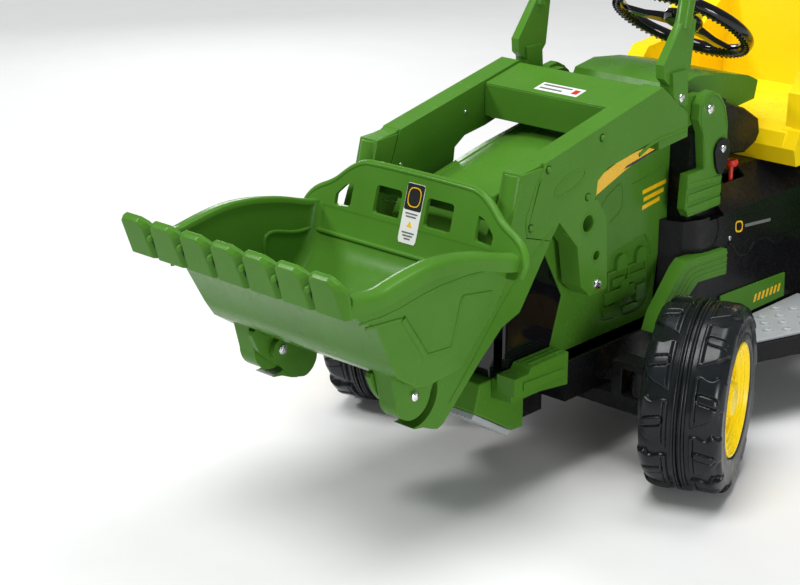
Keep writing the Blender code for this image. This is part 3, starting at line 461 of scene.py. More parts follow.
def bucket():
    top = [(y, z - 0.004) for y, z in reversed(RIM[1:])]
    outline = list(PROFILE) + top
    hull = bucket_solid(outline, 0, 0.026)
    inner = inset(outline, WALL)[1:11]
    room = bucket_solid([(-0.65, 0.6), (-0.652, 0.428)] + inner + [(-0.325, 0.6)], WALL, 0.018)
    edge = list(BACK_PLATE) + [(-x, z) for x, z in reversed(BACK_PLATE)]
    plate = leaned(flat_rounded(edge, 0.2, 1), -0.3335, -0.3265)
    pieces, cuts = [hull, plate], [room]
    for sign in (-1, 1):
        lug = arc(BUCKET_PIVOT, 0.036, 180, 350, 28) + [(-0.445, 0.29), (-0.545, 0.306)]
        pieces.append(side_prism(lug, sign, 0.126, 0.158))
        pieces.append(side_prism(flat_rounded(INNER_LUG, 0.2, 2), sign, 0.1145, 0.1235))
        for hole, round_by in ((BACK_WINDOW, 0.08), (CORNER_HOLE, 0.1)):
            cuts.append(leaned(flat_rounded([(sign * x, z) for x, z in hole], round_by, 2), -0.35, -0.31))
    shell = combined(pieces, cuts)
    piece("bucket_body", shell, GREEN, "bucket", ("bucket_shell",), 0.0016, 3, 35)
    for name, sign in SIDES:
        path = rounded([(sign * 0.1895, y, z) for y, z in RIM + ((-0.328, 0.435),)], 0.25, 2)
        section = [(-0.0015, -0.008), (-0.0015, -0.0015), (0.0003, 0.0004), (0.006, 0.0008), (0.014, -0.0003),
                   (0.0185, -0.0016), (0.0212, -0.0034), (0.0226, -0.0064), (0.023, -0.011), (0.023, -0.0235),
                   (0.0205, -0.0238), (0.0203, -0.011), (0.0185, -0.0062), (0.014, -0.0036), (0.006, -0.0028),
                   (0.0018, -0.004), (0.0016, -0.008)]
        rolled = sweep(path, [(a, -sign * b) for a, b in section], lambda i: (sign, 0, 0))
        piece(f"bucket_rim_{name}", rolled, GREEN, "bucket", smooth=50)
    over = [p for p in flat_rounded(edge, 0.25, 2) if p[1] > 0.408]
    over.sort(key=lambda p: math.atan2(p[1] - 0.405, p[0]))
    path = [Vector((x, -0.3282 + (z - 0.004 - LEAN_Z) * LEAN, z - 0.004)) for x, z in over]
    roll = [(0.0068 * math.cos(t), 0.005 * math.sin(t)) for t in [math.pi * k / 6 for k in range(12)]]
    piece("bucket_back_roll", sweep(path, roll, lambda i: (0, 1, LEAN)), GREEN, "bucket", smooth=60)
    bucket_relief()


def wall_point(y, z, sign, proud=0.0):
    return Vector((sign * (bucket_half(z) + proud), y, z))


def bucket_relief():
    zed = [(-0.628, 0.403), (-0.556, 0.398), (-0.506, 0.33), (-0.452, 0.326), (-0.436, 0.398),
           (-0.372, 0.388)]
    arch = [(-0.64, 0.412), (-0.6, 0.4105), (-0.564, 0.413), (-0.52, 0.421), (-0.483, 0.425), (-0.43, 0.4255),
            (-0.37, 0.421), (-0.345, 0.417)]
    shapes = []
    for sign in (-1, 1):
        for line, width, height in ((zed, 0.005, 0.0014), (zed[1:3], 0.011, 0.003), (arch, 0.004, 0.0007)):
            path = rounded([wall_point(y, z, sign) for y, z in line], 0.06, 2)
            shapes.append(rib(path, (sign, 0, -0.06), width, height))
        inner = rounded([wall_point(y, z, sign, -WALL) for y, z in
                         ((-0.452, 0.35), (-0.451, 0.401), (-0.435, 0.409), (-0.383, 0.395),
                          (-0.345, 0.396))], 0.2, 2)
        shapes.append(rib(inner, (-sign, 0, 0.06), 0.007, 0.0028))
    crease = [Vector((-0.19, -0.3462, 0.3935)), Vector((0.19, -0.3462, 0.3935))]
    shapes.append(rib(crease, (0, -1, 0.3), 0.008, 0.003, 0.002))
    piece("bucket_wall_ribs", joined(shapes), GREEN, "bucket", smooth=60)
    gusset = prism([(-0.44, 0.29), (-0.44, 0.318), (-0.414, 0.334), (-0.408, 0.33), (-0.408, 0.306)],
                   -0.166, -0.161)
    piece("bucket_floor_rib", gusset, GREEN, "bucket", bevel=0.001)


LIP_FOOT, LIP_TIP = Vector((0, -0.6724, 0.4322)), Vector((0, -0.691, 0.4915))
LIP_HALF, LIP_TEETH = 0.2185, 7


def lip():
    """Seven overlapping teeth on the front edge, each with a bevelled flank and a small boss at its foot; the dark
    wedge under each boss is a painted shadow.
    """
    up = (LIP_TIP - LIP_FOOT).normalized()
    out = Vector((1, 0, 0)).cross(up)
    height = (LIP_TIP - LIP_FOOT).length
    pitch = 2 * LIP_HALF / LIP_TEETH
    place = Matrix.Translation(LIP_FOOT) @ Matrix((Vector((1, 0, 0)), up, out)).transposed().to_4x4()
    base = [(-0.2135, 0.0), (0.2135, 0.0), (LIP_HALF, height - 0.022), (-LIP_HALF, height - 0.022)]
    shapes = [prism(base, -0.003, 0.003, "Z")]
    bosses, slots = [], []
    for tooth in range(LIP_TEETH):
        left = -LIP_HALF + tooth * pitch
        right, crown, last = left + pitch, left + 0.62 * pitch, tooth == LIP_TEETH - 1
        foot_left = -0.2135 if tooth == 0 else left
        foot_right = 0.2135 if last else right
        notch = 0.019 if last else 0.0095
        back = [(foot_left, 0.0), (foot_right, 0.0), (right, height - notch),
                (right - 0.009, height - 0.45 * notch),
                (crown, height), (left + 0.0075, height), (left + 0.001, height - 0.004)]
        front = [(foot_left + 0.001, 0.0015), (crown + 0.012, 0.0015), (crown + 0.008, height - 0.014),
                 (crown + 0.006, height - 0.009), (crown - 0.002, height - 0.0042), (left + 0.009,
                                                                                     height - 0.0042),
                 (left + 0.003, height - 0.0085)]
        levels = ((-0.0035, back), (0.0022, back), (0.0092, front))
        shapes.append(loft([[(x, y, z) for x, y in outline] for z, outline in levels]))
        if not last:
            spot = Matrix.Translation((right - 0.005, 0.0355, 0.0042)) @ Matrix.Diagonal((0.85, 1.0, 1.0, 1))
            dome = ((0, -0.003), (0.0052, -0.003), (0.005, 0.004), (0.004, 0.0064), (0.0022, 0.0076),
                    (0, 0.008))
            bosses.append(moved(turned(dome, segments=20, axis=(0, 0, 1)), place @ spot))
            # Painted shadow: a dark wedge below each boss where the slot's shade falls; no slot is cut.
            shadow_wedge = ((right - 0.0078, 0.033), (right - 0.0028, 0.033), (right - 0.005, 0.019))
            slots.append(moved(prism(shadow_wedge, 0.001, 0.0056, "Z"), place))
    piece("bucket_lip_teeth", moved(joined(shapes), place), GREEN, "bucket",
          ("bucket_lip",), 0.0018, 3, 20)
    piece("bucket_lip_bosses", joined(bosses), GREEN, "bucket", smooth=60)
    # The dark wedges are painted shadows, not a colour of the lip.
    piece("bucket_lip_painted_shadows", joined(slots), SHADE_GREEN, "bucket")


def label():
    """A plain label on the bucket's back plate, its print reduced to bars."""
    slope = math.hypot(1, LEAN)
    along, normal = Vector((0, LEAN, 1)) / slope, Vector((0, -1, LEAN)) / slope
    place = Matrix((Vector((1, 0, 0)), along, normal)).transposed().to_4x4()
    place = Matrix.Translation((0, LEAN_Y, LEAN_Z)) @ place

    def patch(outline, lift):
        return moved(prism(outline, -0.0003, lift, "Z"), place)

    def rectangle(half, low, high, round_by=0.0):
        corners = [(-half, low), (half, low), (half, high), (-half, high)]
        return flat_rounded(corners, round_by, 2) if round_by else corners

    piece("label_sheet", patch(rectangle(0.0175, -0.027, 0.0625, 0.06), 0.0004), DECAL_WHITE, "bucket")
    piece("label_head", patch(rectangle(0.0168, 0.0225, 0.0618, 0.06), 0.0007), DECAL_DARK, "bucket")
    ring = combined([patch(rectangle(0.0125, 0.0275, 0.057, 0.22), 0.001)],
                    [patch(rectangle(0.0112, 0.029, 0.0555, 0.22), 0.003)])
    piece("label_frame", ring, DECAL_YELLOW, "bucket")
    bars = [patch(rectangle(half, low, low + 0.0022), 0.0008) for half, low in
            ((0.012, 0.0165), (0.01, 0.012), (0.012, -0.012), (0.0095, -0.0165), (0.006, -0.021))]
    piece("label_bars", joined(bars), DECAL_GREY, "bucket")
    mark = patch([(-0.0048, -0.002), (0.0048, -0.002), (0.0, 0.007)], 0.0008)
    piece("label_mark", mark, DECAL_YELLOW, "bucket")


# Boom
ARM_NOTCH = ((-0.0975, 0.455), (-0.0945, 0.464), (-0.092, 0.484), (-0.068, 0.499), (-0.018, 0.5065),
             (0.012, 0.514), (0.06, 0.5185), (0.064, 0.49))


def boom():
    for side, sign in SIDES:
        refined(f"boom_arm_{side}", 0.0022, segments=3, cuts=[side_prism(ARM_NOTCH, sign, 0.1, 0.18)])
        refined(f"boom_leg_{side}", 0.002, segments=3)
        refined(f"loader_lever_{side}", 0.0018)
        arm_details(side, sign)
    refined("boom_crossmember", 0.0016)
    apron = prism([(-0.0215, 0.576), (-0.0215, 0.5225), (-0.0165, 0.5215), (-0.0165, 0.57)], -0.1236, 0.1236)
    piece("cross_member_apron", apron, GREEN, "boom", bevel=0.0018)
    refined("boom_lower_bar", 0.003, segments=3)
    sticker()


def arm_details(side, sign):
    x = sign * ARM_X
    out = (sign, 0, 0)
    for k, (y, z) in enumerate(((-0.085, 0.549), (-0.212, 0.526), (-0.116, 0.464), (-0.25, 0.446))):
        plug(f"arm_screw_{side}_{k}", (x, y, z), out, "boom")
    plug(f"leg_screw_{side}", (x, -0.316, 0.364), out, "boom")
    screw(f"arm_bolt_{side}", (x, -0.086, 0.319), out, 0.0085, CHROME, "boom", 0.005)
    screw(f"arm_top_screw_{side}", (x - sign * 0.004, 0.0, 0.577), (0.5 * sign, -0.15, 1), 0.0032, CHROME,
          "boom", 0.0012)
    inner = sign * ARM_INNER_X
    for k, (y, z) in enumerate(((-0.067, 0.537), (-0.219, 0.481))):
        screw(f"arm_inner_screw_{side}_{k}", (inner, y, z), (-sign, 0, 0), 0.0035, CHROME, "boom", 0.0012)

    def ring(y, z, major, minor, turn, steps=28):
        points = []
        for k in range(steps):
            a = 2 * math.pi * k / steps
            u, v = major * math.cos(a), minor * math.sin(a)
            points.append((x, y + u * math.cos(turn) - v * math.sin(turn),
                           z + u * math.sin(turn) + v * math.cos(turn)))
        return points

    shapes = [rib(ring(-0.16, 0.4955, 0.037, 0.0125, 0.27), out, 0.0035, 0.0011, loop=True)]
    for y, z, r in ((-0.113, 0.4215, 0.015), (-0.09, 0.366, 0.0095)):
        shapes.append(rib(ring(y, z, r, r, 0), out, 0.004, 0.0012, loop=True))
    crease = level_line(x, [(0.01, 0.503), (0.048, 0.518), (0.134, 0.521)])
    shapes.append(rib(crease, out, 0.006, 0.002))
    seam = level_line(x, [(-0.196, 0.434), (-0.219, 0.421), (-0.262, 0.39), (-0.312, 0.345), (-0.36, 0.291),
                          (-0.425, 0.226)])
    shapes.append(rib(seam, out, 0.0035, 0.0012))
    knee = level_line(x, [(-0.218, 0.533), (-0.24, 0.505), (-0.262, 0.455), (-0.255, 0.436)])
    shapes.append(rib(knee, out, 0.0045, 0.0016))
    piece(f"arm_ribs_{side}", joined(shapes), GREEN, "boom")
    nose = rod((sign * KNEE_X, -0.283, 0.444), (sign * KNEE_X, -0.264, 0.525), 0.016, 32)
    piece(f"knee_nose_{side}", nose, GREEN, "boom", bevel=0.002)
    cap = ((-0.27, 0.529), (-0.23, 0.534), (-0.222, 0.538), (-0.222, 0.53), (-0.27, 0.524))
    piece(f"knee_cap_{side}", side_prism(cap, sign, 0.126, 0.157), GREEN, "boom", bevel=0.001)


def sticker():
    """A plain sticker on the cross member."""
    start_y, start_z = -0.02, 0.5775
    slope = (0.5965 - start_z) / 0.085

    def patch(x0, x1, y0, y1, lift):
        low, high = (start_z + (y - start_y) * slope for y in (y0, y1))
        return prism([(y0, low - 0.0002), (y1, high - 0.0002), (y1, high + lift), (y0, low + lift)], x0, x1)

    piece("sticker_sheet", patch(-0.032, 0.052, -0.01, 0.016, 0.0004), DECAL_WHITE, "boom")
    bars = [patch(-0.026, 0.03, 0.007, 0.0115, 0.0007), patch(-0.026, 0.018, -0.0045, 0.0, 0.0007)]
    piece("sticker_bars", joined(bars), DECAL_GREY, "boom")
    piece("sticker_dot", patch(0.036, 0.047, -0.004, 0.01, 0.0007), RED, "boom")


# Bonnet
RECESS = ((0.004, 0.33), (0.052, 0.337), (0.104, 0.346), (0.119, 0.323), (0.133, 0.279), (0.13, 0.25),
          (0.116, 0.227), (0.094, 0.216), (-0.01, 0.223), (-0.01, 0.27))
RECESS_DEPTH = 0.0026


def panel_lines(sign):
    x = sign * PANEL_X
    out = (sign, 0, 0)
    shapes = []
    dee = level_line(x, [(0.0, 0.431), (0.036, 0.447), (0.04, 0.42), (0.036, 0.398), (0.008, 0.386)])
    shapes.append(rib(dee, out, 0.0028, 0.001))
    shapes.append(rib([(x, 0.065, 0.436), (x, 0.1, 0.44), (x, 0.15, 0.45)], out, 0.0026, 0.0009))
    shapes.append(rib([(x, -0.06, 0.4), (x, -0.02, 0.414), (x, 0.0, 0.431)], out, 0.0026, 0.0009))
    for row in range(15):
        for column in range(7):
            y = -0.096 + 0.0105 * column + 0.004 * (row % 2) + 0.0022 * row * 0.6
            z = 0.209 + 0.0046 * row
            if z > 0.214 + (y + 0.094) * 1.35 + 0.012 or y > -0.033 + (0.277 - z) * -0.22:
                continue
            shapes.append(turned([(0, -0.0005), (0.0024, -0.0005), (0.0015, 0.0009), (0, 0.0011)],
                                 (x, y, z), out, 6))
    return shapes


def engine(sign):
    """Moulded engine relief in the recess of a side panel."""
    floor = PANEL_X - RECESS_DEPTH

    def block(y0, y1, z0, z1, proud):
        return side_box(sign, floor - 0.001, floor + 1.6 * proud, (y0, y1), (z0, z1))

    shapes = [block(0.0, 0.078, 0.249, 0.269, 0.004), block(0.058, 0.106, 0.272, 0.286, 0.0034),
              block(0.02, 0.052, 0.274, 0.288, 0.003), block(0.084, 0.11, 0.236, 0.262, 0.0036),
              block(0.04, 0.06, 0.254, 0.28, 0.005), block(0.052, 0.092, 0.224, 0.233, 0.003),
              block(0.002, 0.03, 0.228, 0.245, 0.0024), block(0.006, 0.118, 0.2985, 0.3025, 0.0032)]
    for y in (0.041, 0.093):
        arch = arc((y, 0.313), 0.0135, 180, 0, 14) + [(y + 0.0135, 0.3), (y - 0.0135, 0.3)]
        shapes.append(side_prism(arch, sign, floor - 0.001, floor + 0.0075))
    for y in (0.012, 0.065, 0.112):
        shapes.append(rod((sign * (floor + 0.001), y, 0.245), (sign * (floor + 0.001), y, 0.299), 0.0022, 12))
    shapes.append(rod((sign * (floor + 0.002), 0.072, 0.254), (sign * (floor + 0.002), 0.112, 0.244), 0.003,
                      12))
    return shapes


def bonnet():
    refined("hood_top", 0.0035, segments=3, limit=25)
    hood_details()
    for side, sign in SIDES:
        cut = side_prism(flat_rounded(RECESS, 0.15, 2), sign, PANEL_X - RECESS_DEPTH, PANEL_X + 0.01)
        refined(f"side_panel_{side}", 0.0012, cuts=[cut])
        piece(f"panel_relief_{side}", joined(panel_lines(sign)), GREEN, "tractor")
        piece(f"engine_relief_{side}", joined(engine(sign)), GREEN, "tractor", bevel=0.0008)
        decals(side, sign)
    refined("grille", 0.003, segments=3)
    grille_details()


def hood_details():
    latch = loft([[(-0.02, -0.25, 0.449), (0.02, -0.25, 0.449), (0.014, -0.244, 0.46),
                   (-0.014, -0.244, 0.46)],
                  [(-0.03, -0.206, 0.46), (0.03, -0.206, 0.46), (0.026, -0.206, 0.47),
                   (-0.026, -0.206, 0.47)]])
    piece("hood_latch", latch, GREEN, "tractor", bevel=0.0025)
    lines = []
    for sign in (-1, 1):
        path = rounded([(sign * 0.09, -0.228, 0.4475), (sign * 0.093, -0.162, 0.46),
                        (sign * 0.093, -0.034, 0.489),
                        (sign * 0.093, 0.059, 0.505), (sign * 0.093, 0.15, 0.5145)], 0.2, 2)
        lines.append(rib(path, (0, -0.2, 1), 0.005, 0.001, 0.0015))
    piece("hood_lines", joined(lines), GREEN, "tractor")


def decals(side, sign):
    """A stripe and three bars in place of the lettering."""
    def patch(outline, lift):
        return side_prism(outline, sign, PANEL_X - 0.0002, PANEL_X + lift)

    stripe = [(-0.031, 0.438), (-0.028, 0.466), (0.02, 0.48), (0.07, 0.488), (0.13, 0.492), (0.133, 0.485),
              (0.044, 0.464)]
    piece(f"stripe_{side}", patch(stripe, 0.0004), DECAL_YELLOW, "tractor")
    keyline = [(0.04, 0.4655), (0.046, 0.47), (0.126, 0.483), (0.13, 0.481), (0.06, 0.468)]
    piece(f"stripe_keyline_{side}", patch(keyline, 0.0007), DECAL_DARK, "tractor")
    bars = []
    for row, (start, end) in enumerate(((0.092, 0.156), (0.096, 0.15), (0.093, 0.14))):
        z = 0.413 - 0.013 * row
        bars.append(patch([(start, z), (end, z + 0.006), (end, z + 0.013), (start, z + 0.007)], 0.0004))
    piece(f"panel_bars_{side}", joined(bars), DECAL_YELLOW, "tractor")


def grille_details():
    """Vertical slats and a headlamp band behind the glossy front."""
    slats = []
    for k in range(-4, 5):
        slats.append(box((k * 0.018 - 0.0025, k * 0.018 + 0.0025), (-0.2745, -0.26), (0.215, 0.33)))
    piece("grille_slats", joined(slats), GLOSS_BLACK, "tractor", bevel=0.001)
    lamps = []
    for sign in (-1, 1):
        outline = flat_rounded([(sign * 0.02, 0.352), (sign * 0.078, 0.352), (sign * 0.082, 0.385),
                                (sign * 0.02, 0.378)], 0.15, 2)
        lamps.append(prism(outline, -0.2725, -0.26, "Y"))
    piece("grille_lamps", joined(lamps), DECAL_GREY, "tractor", bevel=0.0015)


# Front end
def front_end():
    refined("front_bumper", 0.0022)
    refined("front_weight", 0.0035, segments=3)
    refined("front_skid_plate", 0.0012)
    refined("chassis_frame", 0.0015)
    refined("front_axle_beam", 0.002)
    shapes = []
    for sign in (-1, 1):
        band = ((-0.246, 0.188), (-0.246, 0.201), (-0.148, 0.196), (-0.148, 0.183))
        shapes.append(side_prism(band, sign, 0.1495, 0.1535))
        for k in range(3):
            shapes.append(side_box(sign, 0.119 + 0.009 * k, 0.124 + 0.009 * k, (-0.222, -0.14),
                                   (0.218, 0.2222)))
    for k in range(5):
        y = -0.246 + 0.014 * k
        for sign in (-1, 1):
            shapes.append(side_box(sign, 0.103, 0.112, (y, y + 0.006), (0.198, 0.2015)))
    piece("bumper_ribs", joined(shapes), GREEN, "tractor", bevel=0.0009)
    ridges = [box((x - 0.0065, x + 0.0065), (-0.274, -0.196), (0.194, 0.1985)) for x in (-0.03, 0.0, 0.03)]
    piece("weight_ribs", joined(ridges), GREEN, "tractor", bevel=0.0012)
    teeth = []
    for k in range(24):
        x = -0.092 + 0.008 * k
        tooth = ((-0.2945, 0.15), (-0.302, 0.143), (-0.217, 0.089), (-0.209, 0.095))
        teeth.append(prism(tooth, x - 0.0012, x + 0.0022))
    piece("skid_ribs", joined(teeth), GREY, "tractor", bevel=0.0004)


# Body and driver's place
def body_parts():
    refined("body_shell", 0.0028, segments=3, limit=28)
    refined("dash_console", 0.006, segments=3)
    for side, sign in SIDES:
        x = sign * BODY_X
        out = (sign, 0, 0)
        refined(f"rocker_panel_{side}", 0.0008)
        refined(f"mudguard_strip_{side}", 0.0025, segments=3)
        refined(f"fender_{side}", 0.003, segments=3)
        refined(f"footplate_{side}", 0.0016, segments=3)
        refined(f"side_pod_{side}", 0.0045, segments=3)
        refined(f"upright_{side}", 0.0022, segments=3)
        refined(f"upright_hub_{side}", 0.0012)
        strip_ribs(side, sign)
        footplate_bumps(side, sign)
        upright_details(side, sign)
        zig = level_line(x, [(0.262, 0.296), (0.274, 0.303), (0.298, 0.274), (0.331, 0.268), (0.353, 0.287),
                             (0.391, 0.283), (0.42, 0.263), (0.446, 0.277), (0.52, 0.277)], 0.18)
        bulge = rounded([(x, 0.233, 0.352), (x, 0.24, 0.334), (x, 0.232, 0.313), (x, 0.206, 0.3),
                         (x, 0.19, 0.299)], 0.25, 3)
        line = [(x, 0.3, 0.342), (x, 0.402, 0.334)]
        shapes = [rib(zig, out, 0.0045, 0.002), rib(bulge, out, 0.004, 0.0018),
                  rib(line, out, 0.0022, 0.0007)]
        piece(f"body_lines_{side}", joined(shapes), BLACK, "tractor")
        screw(f"body_screw_{side}", (x, 0.273, 0.309), out, 0.0042, STEEL, "tractor", 0.0016)
        badge = flat_rounded([(0.288, 0.315), (0.31, 0.312), (0.309, 0.332), (0.287, 0.335)], 0.2, 2)
        hole = flat_rounded([(0.2905, 0.3175), (0.3075, 0.315), (0.3065, 0.3295), (0.2895, 0.3325)], 0.2, 2)
        frame_ring = combined([side_prism(badge, sign, BODY_X, BODY_X + 0.0006)],
                              [side_prism(hole, sign, BODY_X - 0.002, BODY_X + 0.002)])
        piece(f"badge_{side}", frame_ring, DECAL_YELLOW, "tractor")
        bar = ((0.317, 0.318), (0.396, 0.311), (0.396, 0.3165), (0.317, 0.3235))
        piece(f"badge_bar_{side}", side_prism(bar, sign, BODY_X, BODY_X + 0.0005), DECAL_GREY, "tractor")
        rocker_marks(side, sign)


def rocker_marks(side, sign):
    """Slanted bars on the rocker panel."""
    shapes = []
    for k in range(7):
        y = 0.352 + 0.0125 * k
        bar = ((y, 0.176), (y + 0.006, 0.1757), (y + 0.0105, 0.1895), (y + 0.0045, 0.1898))
        shapes.append(side_prism(bar, sign, ROCKER_X - 0.0002, ROCKER_X + 0.0005))
    piece(f"rocker_bars_{side}", joined(shapes), DECAL_YELLOW, "tractor")


def strip_ribs(side, sign):
    """Long ridges that follow the mudguard strip's bend."""
    shapes = []
    for k in range(4):
        t = 0.2 + 0.22 * k
        lines = []
        for inner, outer in (((0.246, 0.257), (0.246, 0.299)), ((0.164, 0.264), (0.134, 0.303)),
                             ((0.138, 0.245), (0.116, 0.292)), ((0.108, 0.208), (0.064, 0.234))):
            y = inner[0] + (outer[0] - inner[0]) * t
            z = inner[1] + (outer[1] - inner[1]) * t
            lines.append((sign * STRIP_X, y, z))
        shapes.append(rib(rounded(lines, 0.2, 2), (sign, 0, 0), 0.005, 0.0016))
    piece(f"strip_ribs_{side}", joined(shapes), GREEN, "tractor")


def footplate_bumps(side, sign):
    """Oval domes with a dimple on top; the right plate has none beneath the pedal."""
    shapes = []
    rows = (((0.187, 0.396), (0.212, 0.414), (0.237, 0.432), (0.262, 0.45)),
            ((0.194, 0.343), (0.213, 0.369), (0.243, 0.392), (0.272, 0.414)),
            ((0.19, 0.3), (0.214, 0.32), (0.235, 0.344), (0.262, 0.366), (0.288, 0.388)),
            ((0.19, 0.262), (0.213, 0.277), (0.236, 0.295), (0.258, 0.32)), ((0.19, 0.222), (0.212, 0.24)))
    for row in rows:
        for x, y in row:
            if sign < 0 and abs(x - 0.21) < 0.045 and 0.245 < y < 0.372:
                continue
            dome = [(0, -0.001), (0.0095, -0.001), (0.0082, 0.003), (0.0056, 0.0046), (0.0034, 0.0044),
                    (0.0024, 0.0018),
                    (0, 0.0014)]
            place = Matrix.Translation((sign * x, y, FOOTPLATE_TOP)) @ Matrix.Rotation(sign * 0.7, 4, "Z")
            shapes.append(moved(turned(dome, (0, 0, 0), (0, 0, 1), 20),
                                place @ Matrix.Diagonal((1.0, 0.72, 1, 1))))
    piece(f"footplate_bumps_{side}", joined(shapes), GREY, "tractor")


def upright_details(side, sign):
    x = sign * BODY_X
    shapes = []
    for z0, z1, z2, z3 in ((0.376, 0.391, 0.392, 0.376), (0.3955, 0.412, 0.412, 0.3955),
                           (0.4165, 0.43, 0.427, 0.416)):
        outline = ((0.1405, z0 + 0.004), (0.1405, z1), (0.235, z2), (0.235, z3))
        shapes.append(side_prism(outline, sign, BODY_X - 0.002, BODY_X + 0.0024))
    piece(f"upright_ribs_{side}", joined(shapes), GREEN, "tractor", bevel=0.002)
    out = (sign, 0, 0)
    screw(f"upright_hub_bolt_{side}", (sign * 0.17, 0.229, 0.472), out, 0.0066, CHROME, "tractor", 0.003)
    path = level_line(x, [(0.188, 0.448), (0.18, 0.5), (0.168, 0.53), (0.17, 0.553), (0.184, 0.566),
                          (0.2, 0.568), (0.22, 0.558), (0.236, 0.536), (0.244, 0.505)], 0.25)
    piece(f"upright_edge_{side}", rib(path, out, 0.0035, 0.0014), GREEN, "tractor")


def seat_and_controls():
    refined("seat", 0.012, SEAT_YELLOW, segments=4, limit=25)
    lines = []
    for sign in (-1, 1):
        x = sign * SEAT_X
        corners = ((x, 0.48, 0.505), (x, 0.56, 0.49), (x, 0.6, 0.465), (x, 0.56, 0.45))
        path = rounded(corners, 0.25, 2)
        lines.append(rib(path, (sign, 0, 0), 0.006, 0.0014, 0.0015))
    piece("seat_lines", joined(lines), SEAT_YELLOW, "driver_seat")
    refined("gear_lever", 0.0008)
    refined("accelerator_pedal", 0.0012)
    ridges = []
    for k in range(6):
        y = 0.265 + 0.012 * k
        zz = 0.1615 + 0.0065 - (y - 0.35) * math.tan(math.radians(12))
        ridges.append(rib([(-0.236, y, zz - 0.0012), (-0.184, y, zz - 0.0012)], (0, 0.2, 1), 0.004, 0.0016))
    piece("pedal_ridges", joined(ridges), BLACK, "pedal")


# Steering
def steering():
    centre = Vector(JOINTS["steering_turn"]["pos_m"]) - Vector((0, DATUM_Y, 0))
    axis = Vector(JOINTS["steering_turn"]["axis"])
    radius, rest = 0.115, STEER_REST / STEER_RATIO
    rim = turned(arc((radius, 0), 0.011, 0, 345, 23), centre, axis, 96, ring=True)
    turn = Vector((0, 0, 1)).rotation_difference(axis).to_matrix().to_4x4()
    spokes = [turned([(0, -0.008), (0.03, -0.008), (0.036, 0.0), (0.034, 0.009), (0, 0.01)], centre, axis,
                     48)]
    for angle in (0, 120, 240):
        spoke = loft([[(-0.015, 0.025, -0.006), (0.015, 0.025, -0.006), (0.012, 0.025, 0.007),
                       (-0.012, 0.025, 0.007)],
                      [(-0.01, 0.07, -0.006), (0.01, 0.07, -0.006), (0.008, 0.07, 0.004),
                       (-0.008, 0.07, 0.004)],
                      [(-0.013, radius, -0.005), (0.013, radius, -0.005), (0.011, radius, 0.005),
                       (-0.011, radius, 0.005)]])
        place = Matrix.Translation(centre) @ turn @ Matrix.Rotation(rest + math.radians(angle + 180), 4, "Z")
        spokes.append(moved(spoke, place))
    piece("steering_wheel_rim", rim, GLOSS_BLACK, "steering", ("steering_wheel",))
    piece("steering_wheel_spokes", joined(spokes), GLOSS_BLACK, "steering", bevel=0.002)
    grips = []
    for k in range(72):
        spot = Matrix.Translation(centre) @ turn @ Matrix.Rotation(2 * math.pi * k / 72, 4, "Z")
        grips.append(moved(rod((0.108, 0, -0.0098), (0.122, 0, -0.0098), 0.0022, 8), spot))
    piece("steering_wheel_grips", joined(grips), GLOSS_BLACK, "steering")
    boss = [(0, 0.0104), (0.03, 0.0104), (0.03, 0.0165), (0.0285, 0.0185), (0.023, 0.0205), (0.021, 0.025),
            (0.0195, 0.0268), (0.01, 0.0278), (0, 0.028)]
    piece("steering_boss_cap", turned(boss, centre, axis, 64), YELLOW, "steering",
          ("steering_boss",))
    refined("steering_column", 0.0006)
    for side, _ in SIDES:
        refined(f"steering_knuckle_{side}", 0.0008)
    refined("tie_rod", 0.0008)


# Wheels
def wheel_frame(centre, axis):
    """Local x is level, local y is up and local z is the axle, pointing outwards."""
    level = Vector((0, 0, 1)).cross(axis)
    return Matrix.Translation(centre) @ Matrix((level, Vector((0, 0, 1)), axis)).transposed().to_4x4()


def step(value, at, soft):
    return 1 / (1 + np.exp(-np.clip((value - at) / soft, -40, 40)))


def tread_height(run, around, half):
    """Height of the moulded tread over its floor, from 0 to 1.

    run is the distance from the middle line and around the place within one lug, both as arrays.
    """
    ridge = step(run, 0.001, 0.0002) * (1 - step(run, 0.0105, 0.0005)) * 0.9
    ridge *= 1 - 0.3 * np.exp(-((run - 0.0058) / 0.0008) ** 2)
    inner = 0.017
    s = np.clip((run - inner) / (half - inner), 0, 1.3)
    foot, head = 0.03 + 0.26 * s, 0.9 + 0.03 * np.sin(s * 9.0)
    lug = step(around, foot, 0.01) * (1 - step(around, head, 0.006))
    lug *= step(run, inner, 0.0005)
    fall = np.clip((head - around) / (head - foot), 0, 1)
    line = np.exp(-((run - inner - 0.007) / 0.001) ** 2) * step(around, foot + 0.07, 0.004)
    line *= 1 - step(around, head - 0.05, 0.004)
    high = (around - 0.52 + 0.1 * (s - 0.55)) * 0.0942
    off = (run - inner) - 0.55 * (half - inner)
    reach = np.hypot(off - np.clip(off, -0.0125, 0.0125), high)
    pad = 1 - step(reach, 0.0064, 0.0005)
    moat = np.exp(-((reach - 0.0076) / 0.0011) ** 2)
    height = lug * (0.88 - 0.22 * fall - 0.25 * line - 0.3 * moat + 0.16 * pad)
    return np.maximum(height, ridge)


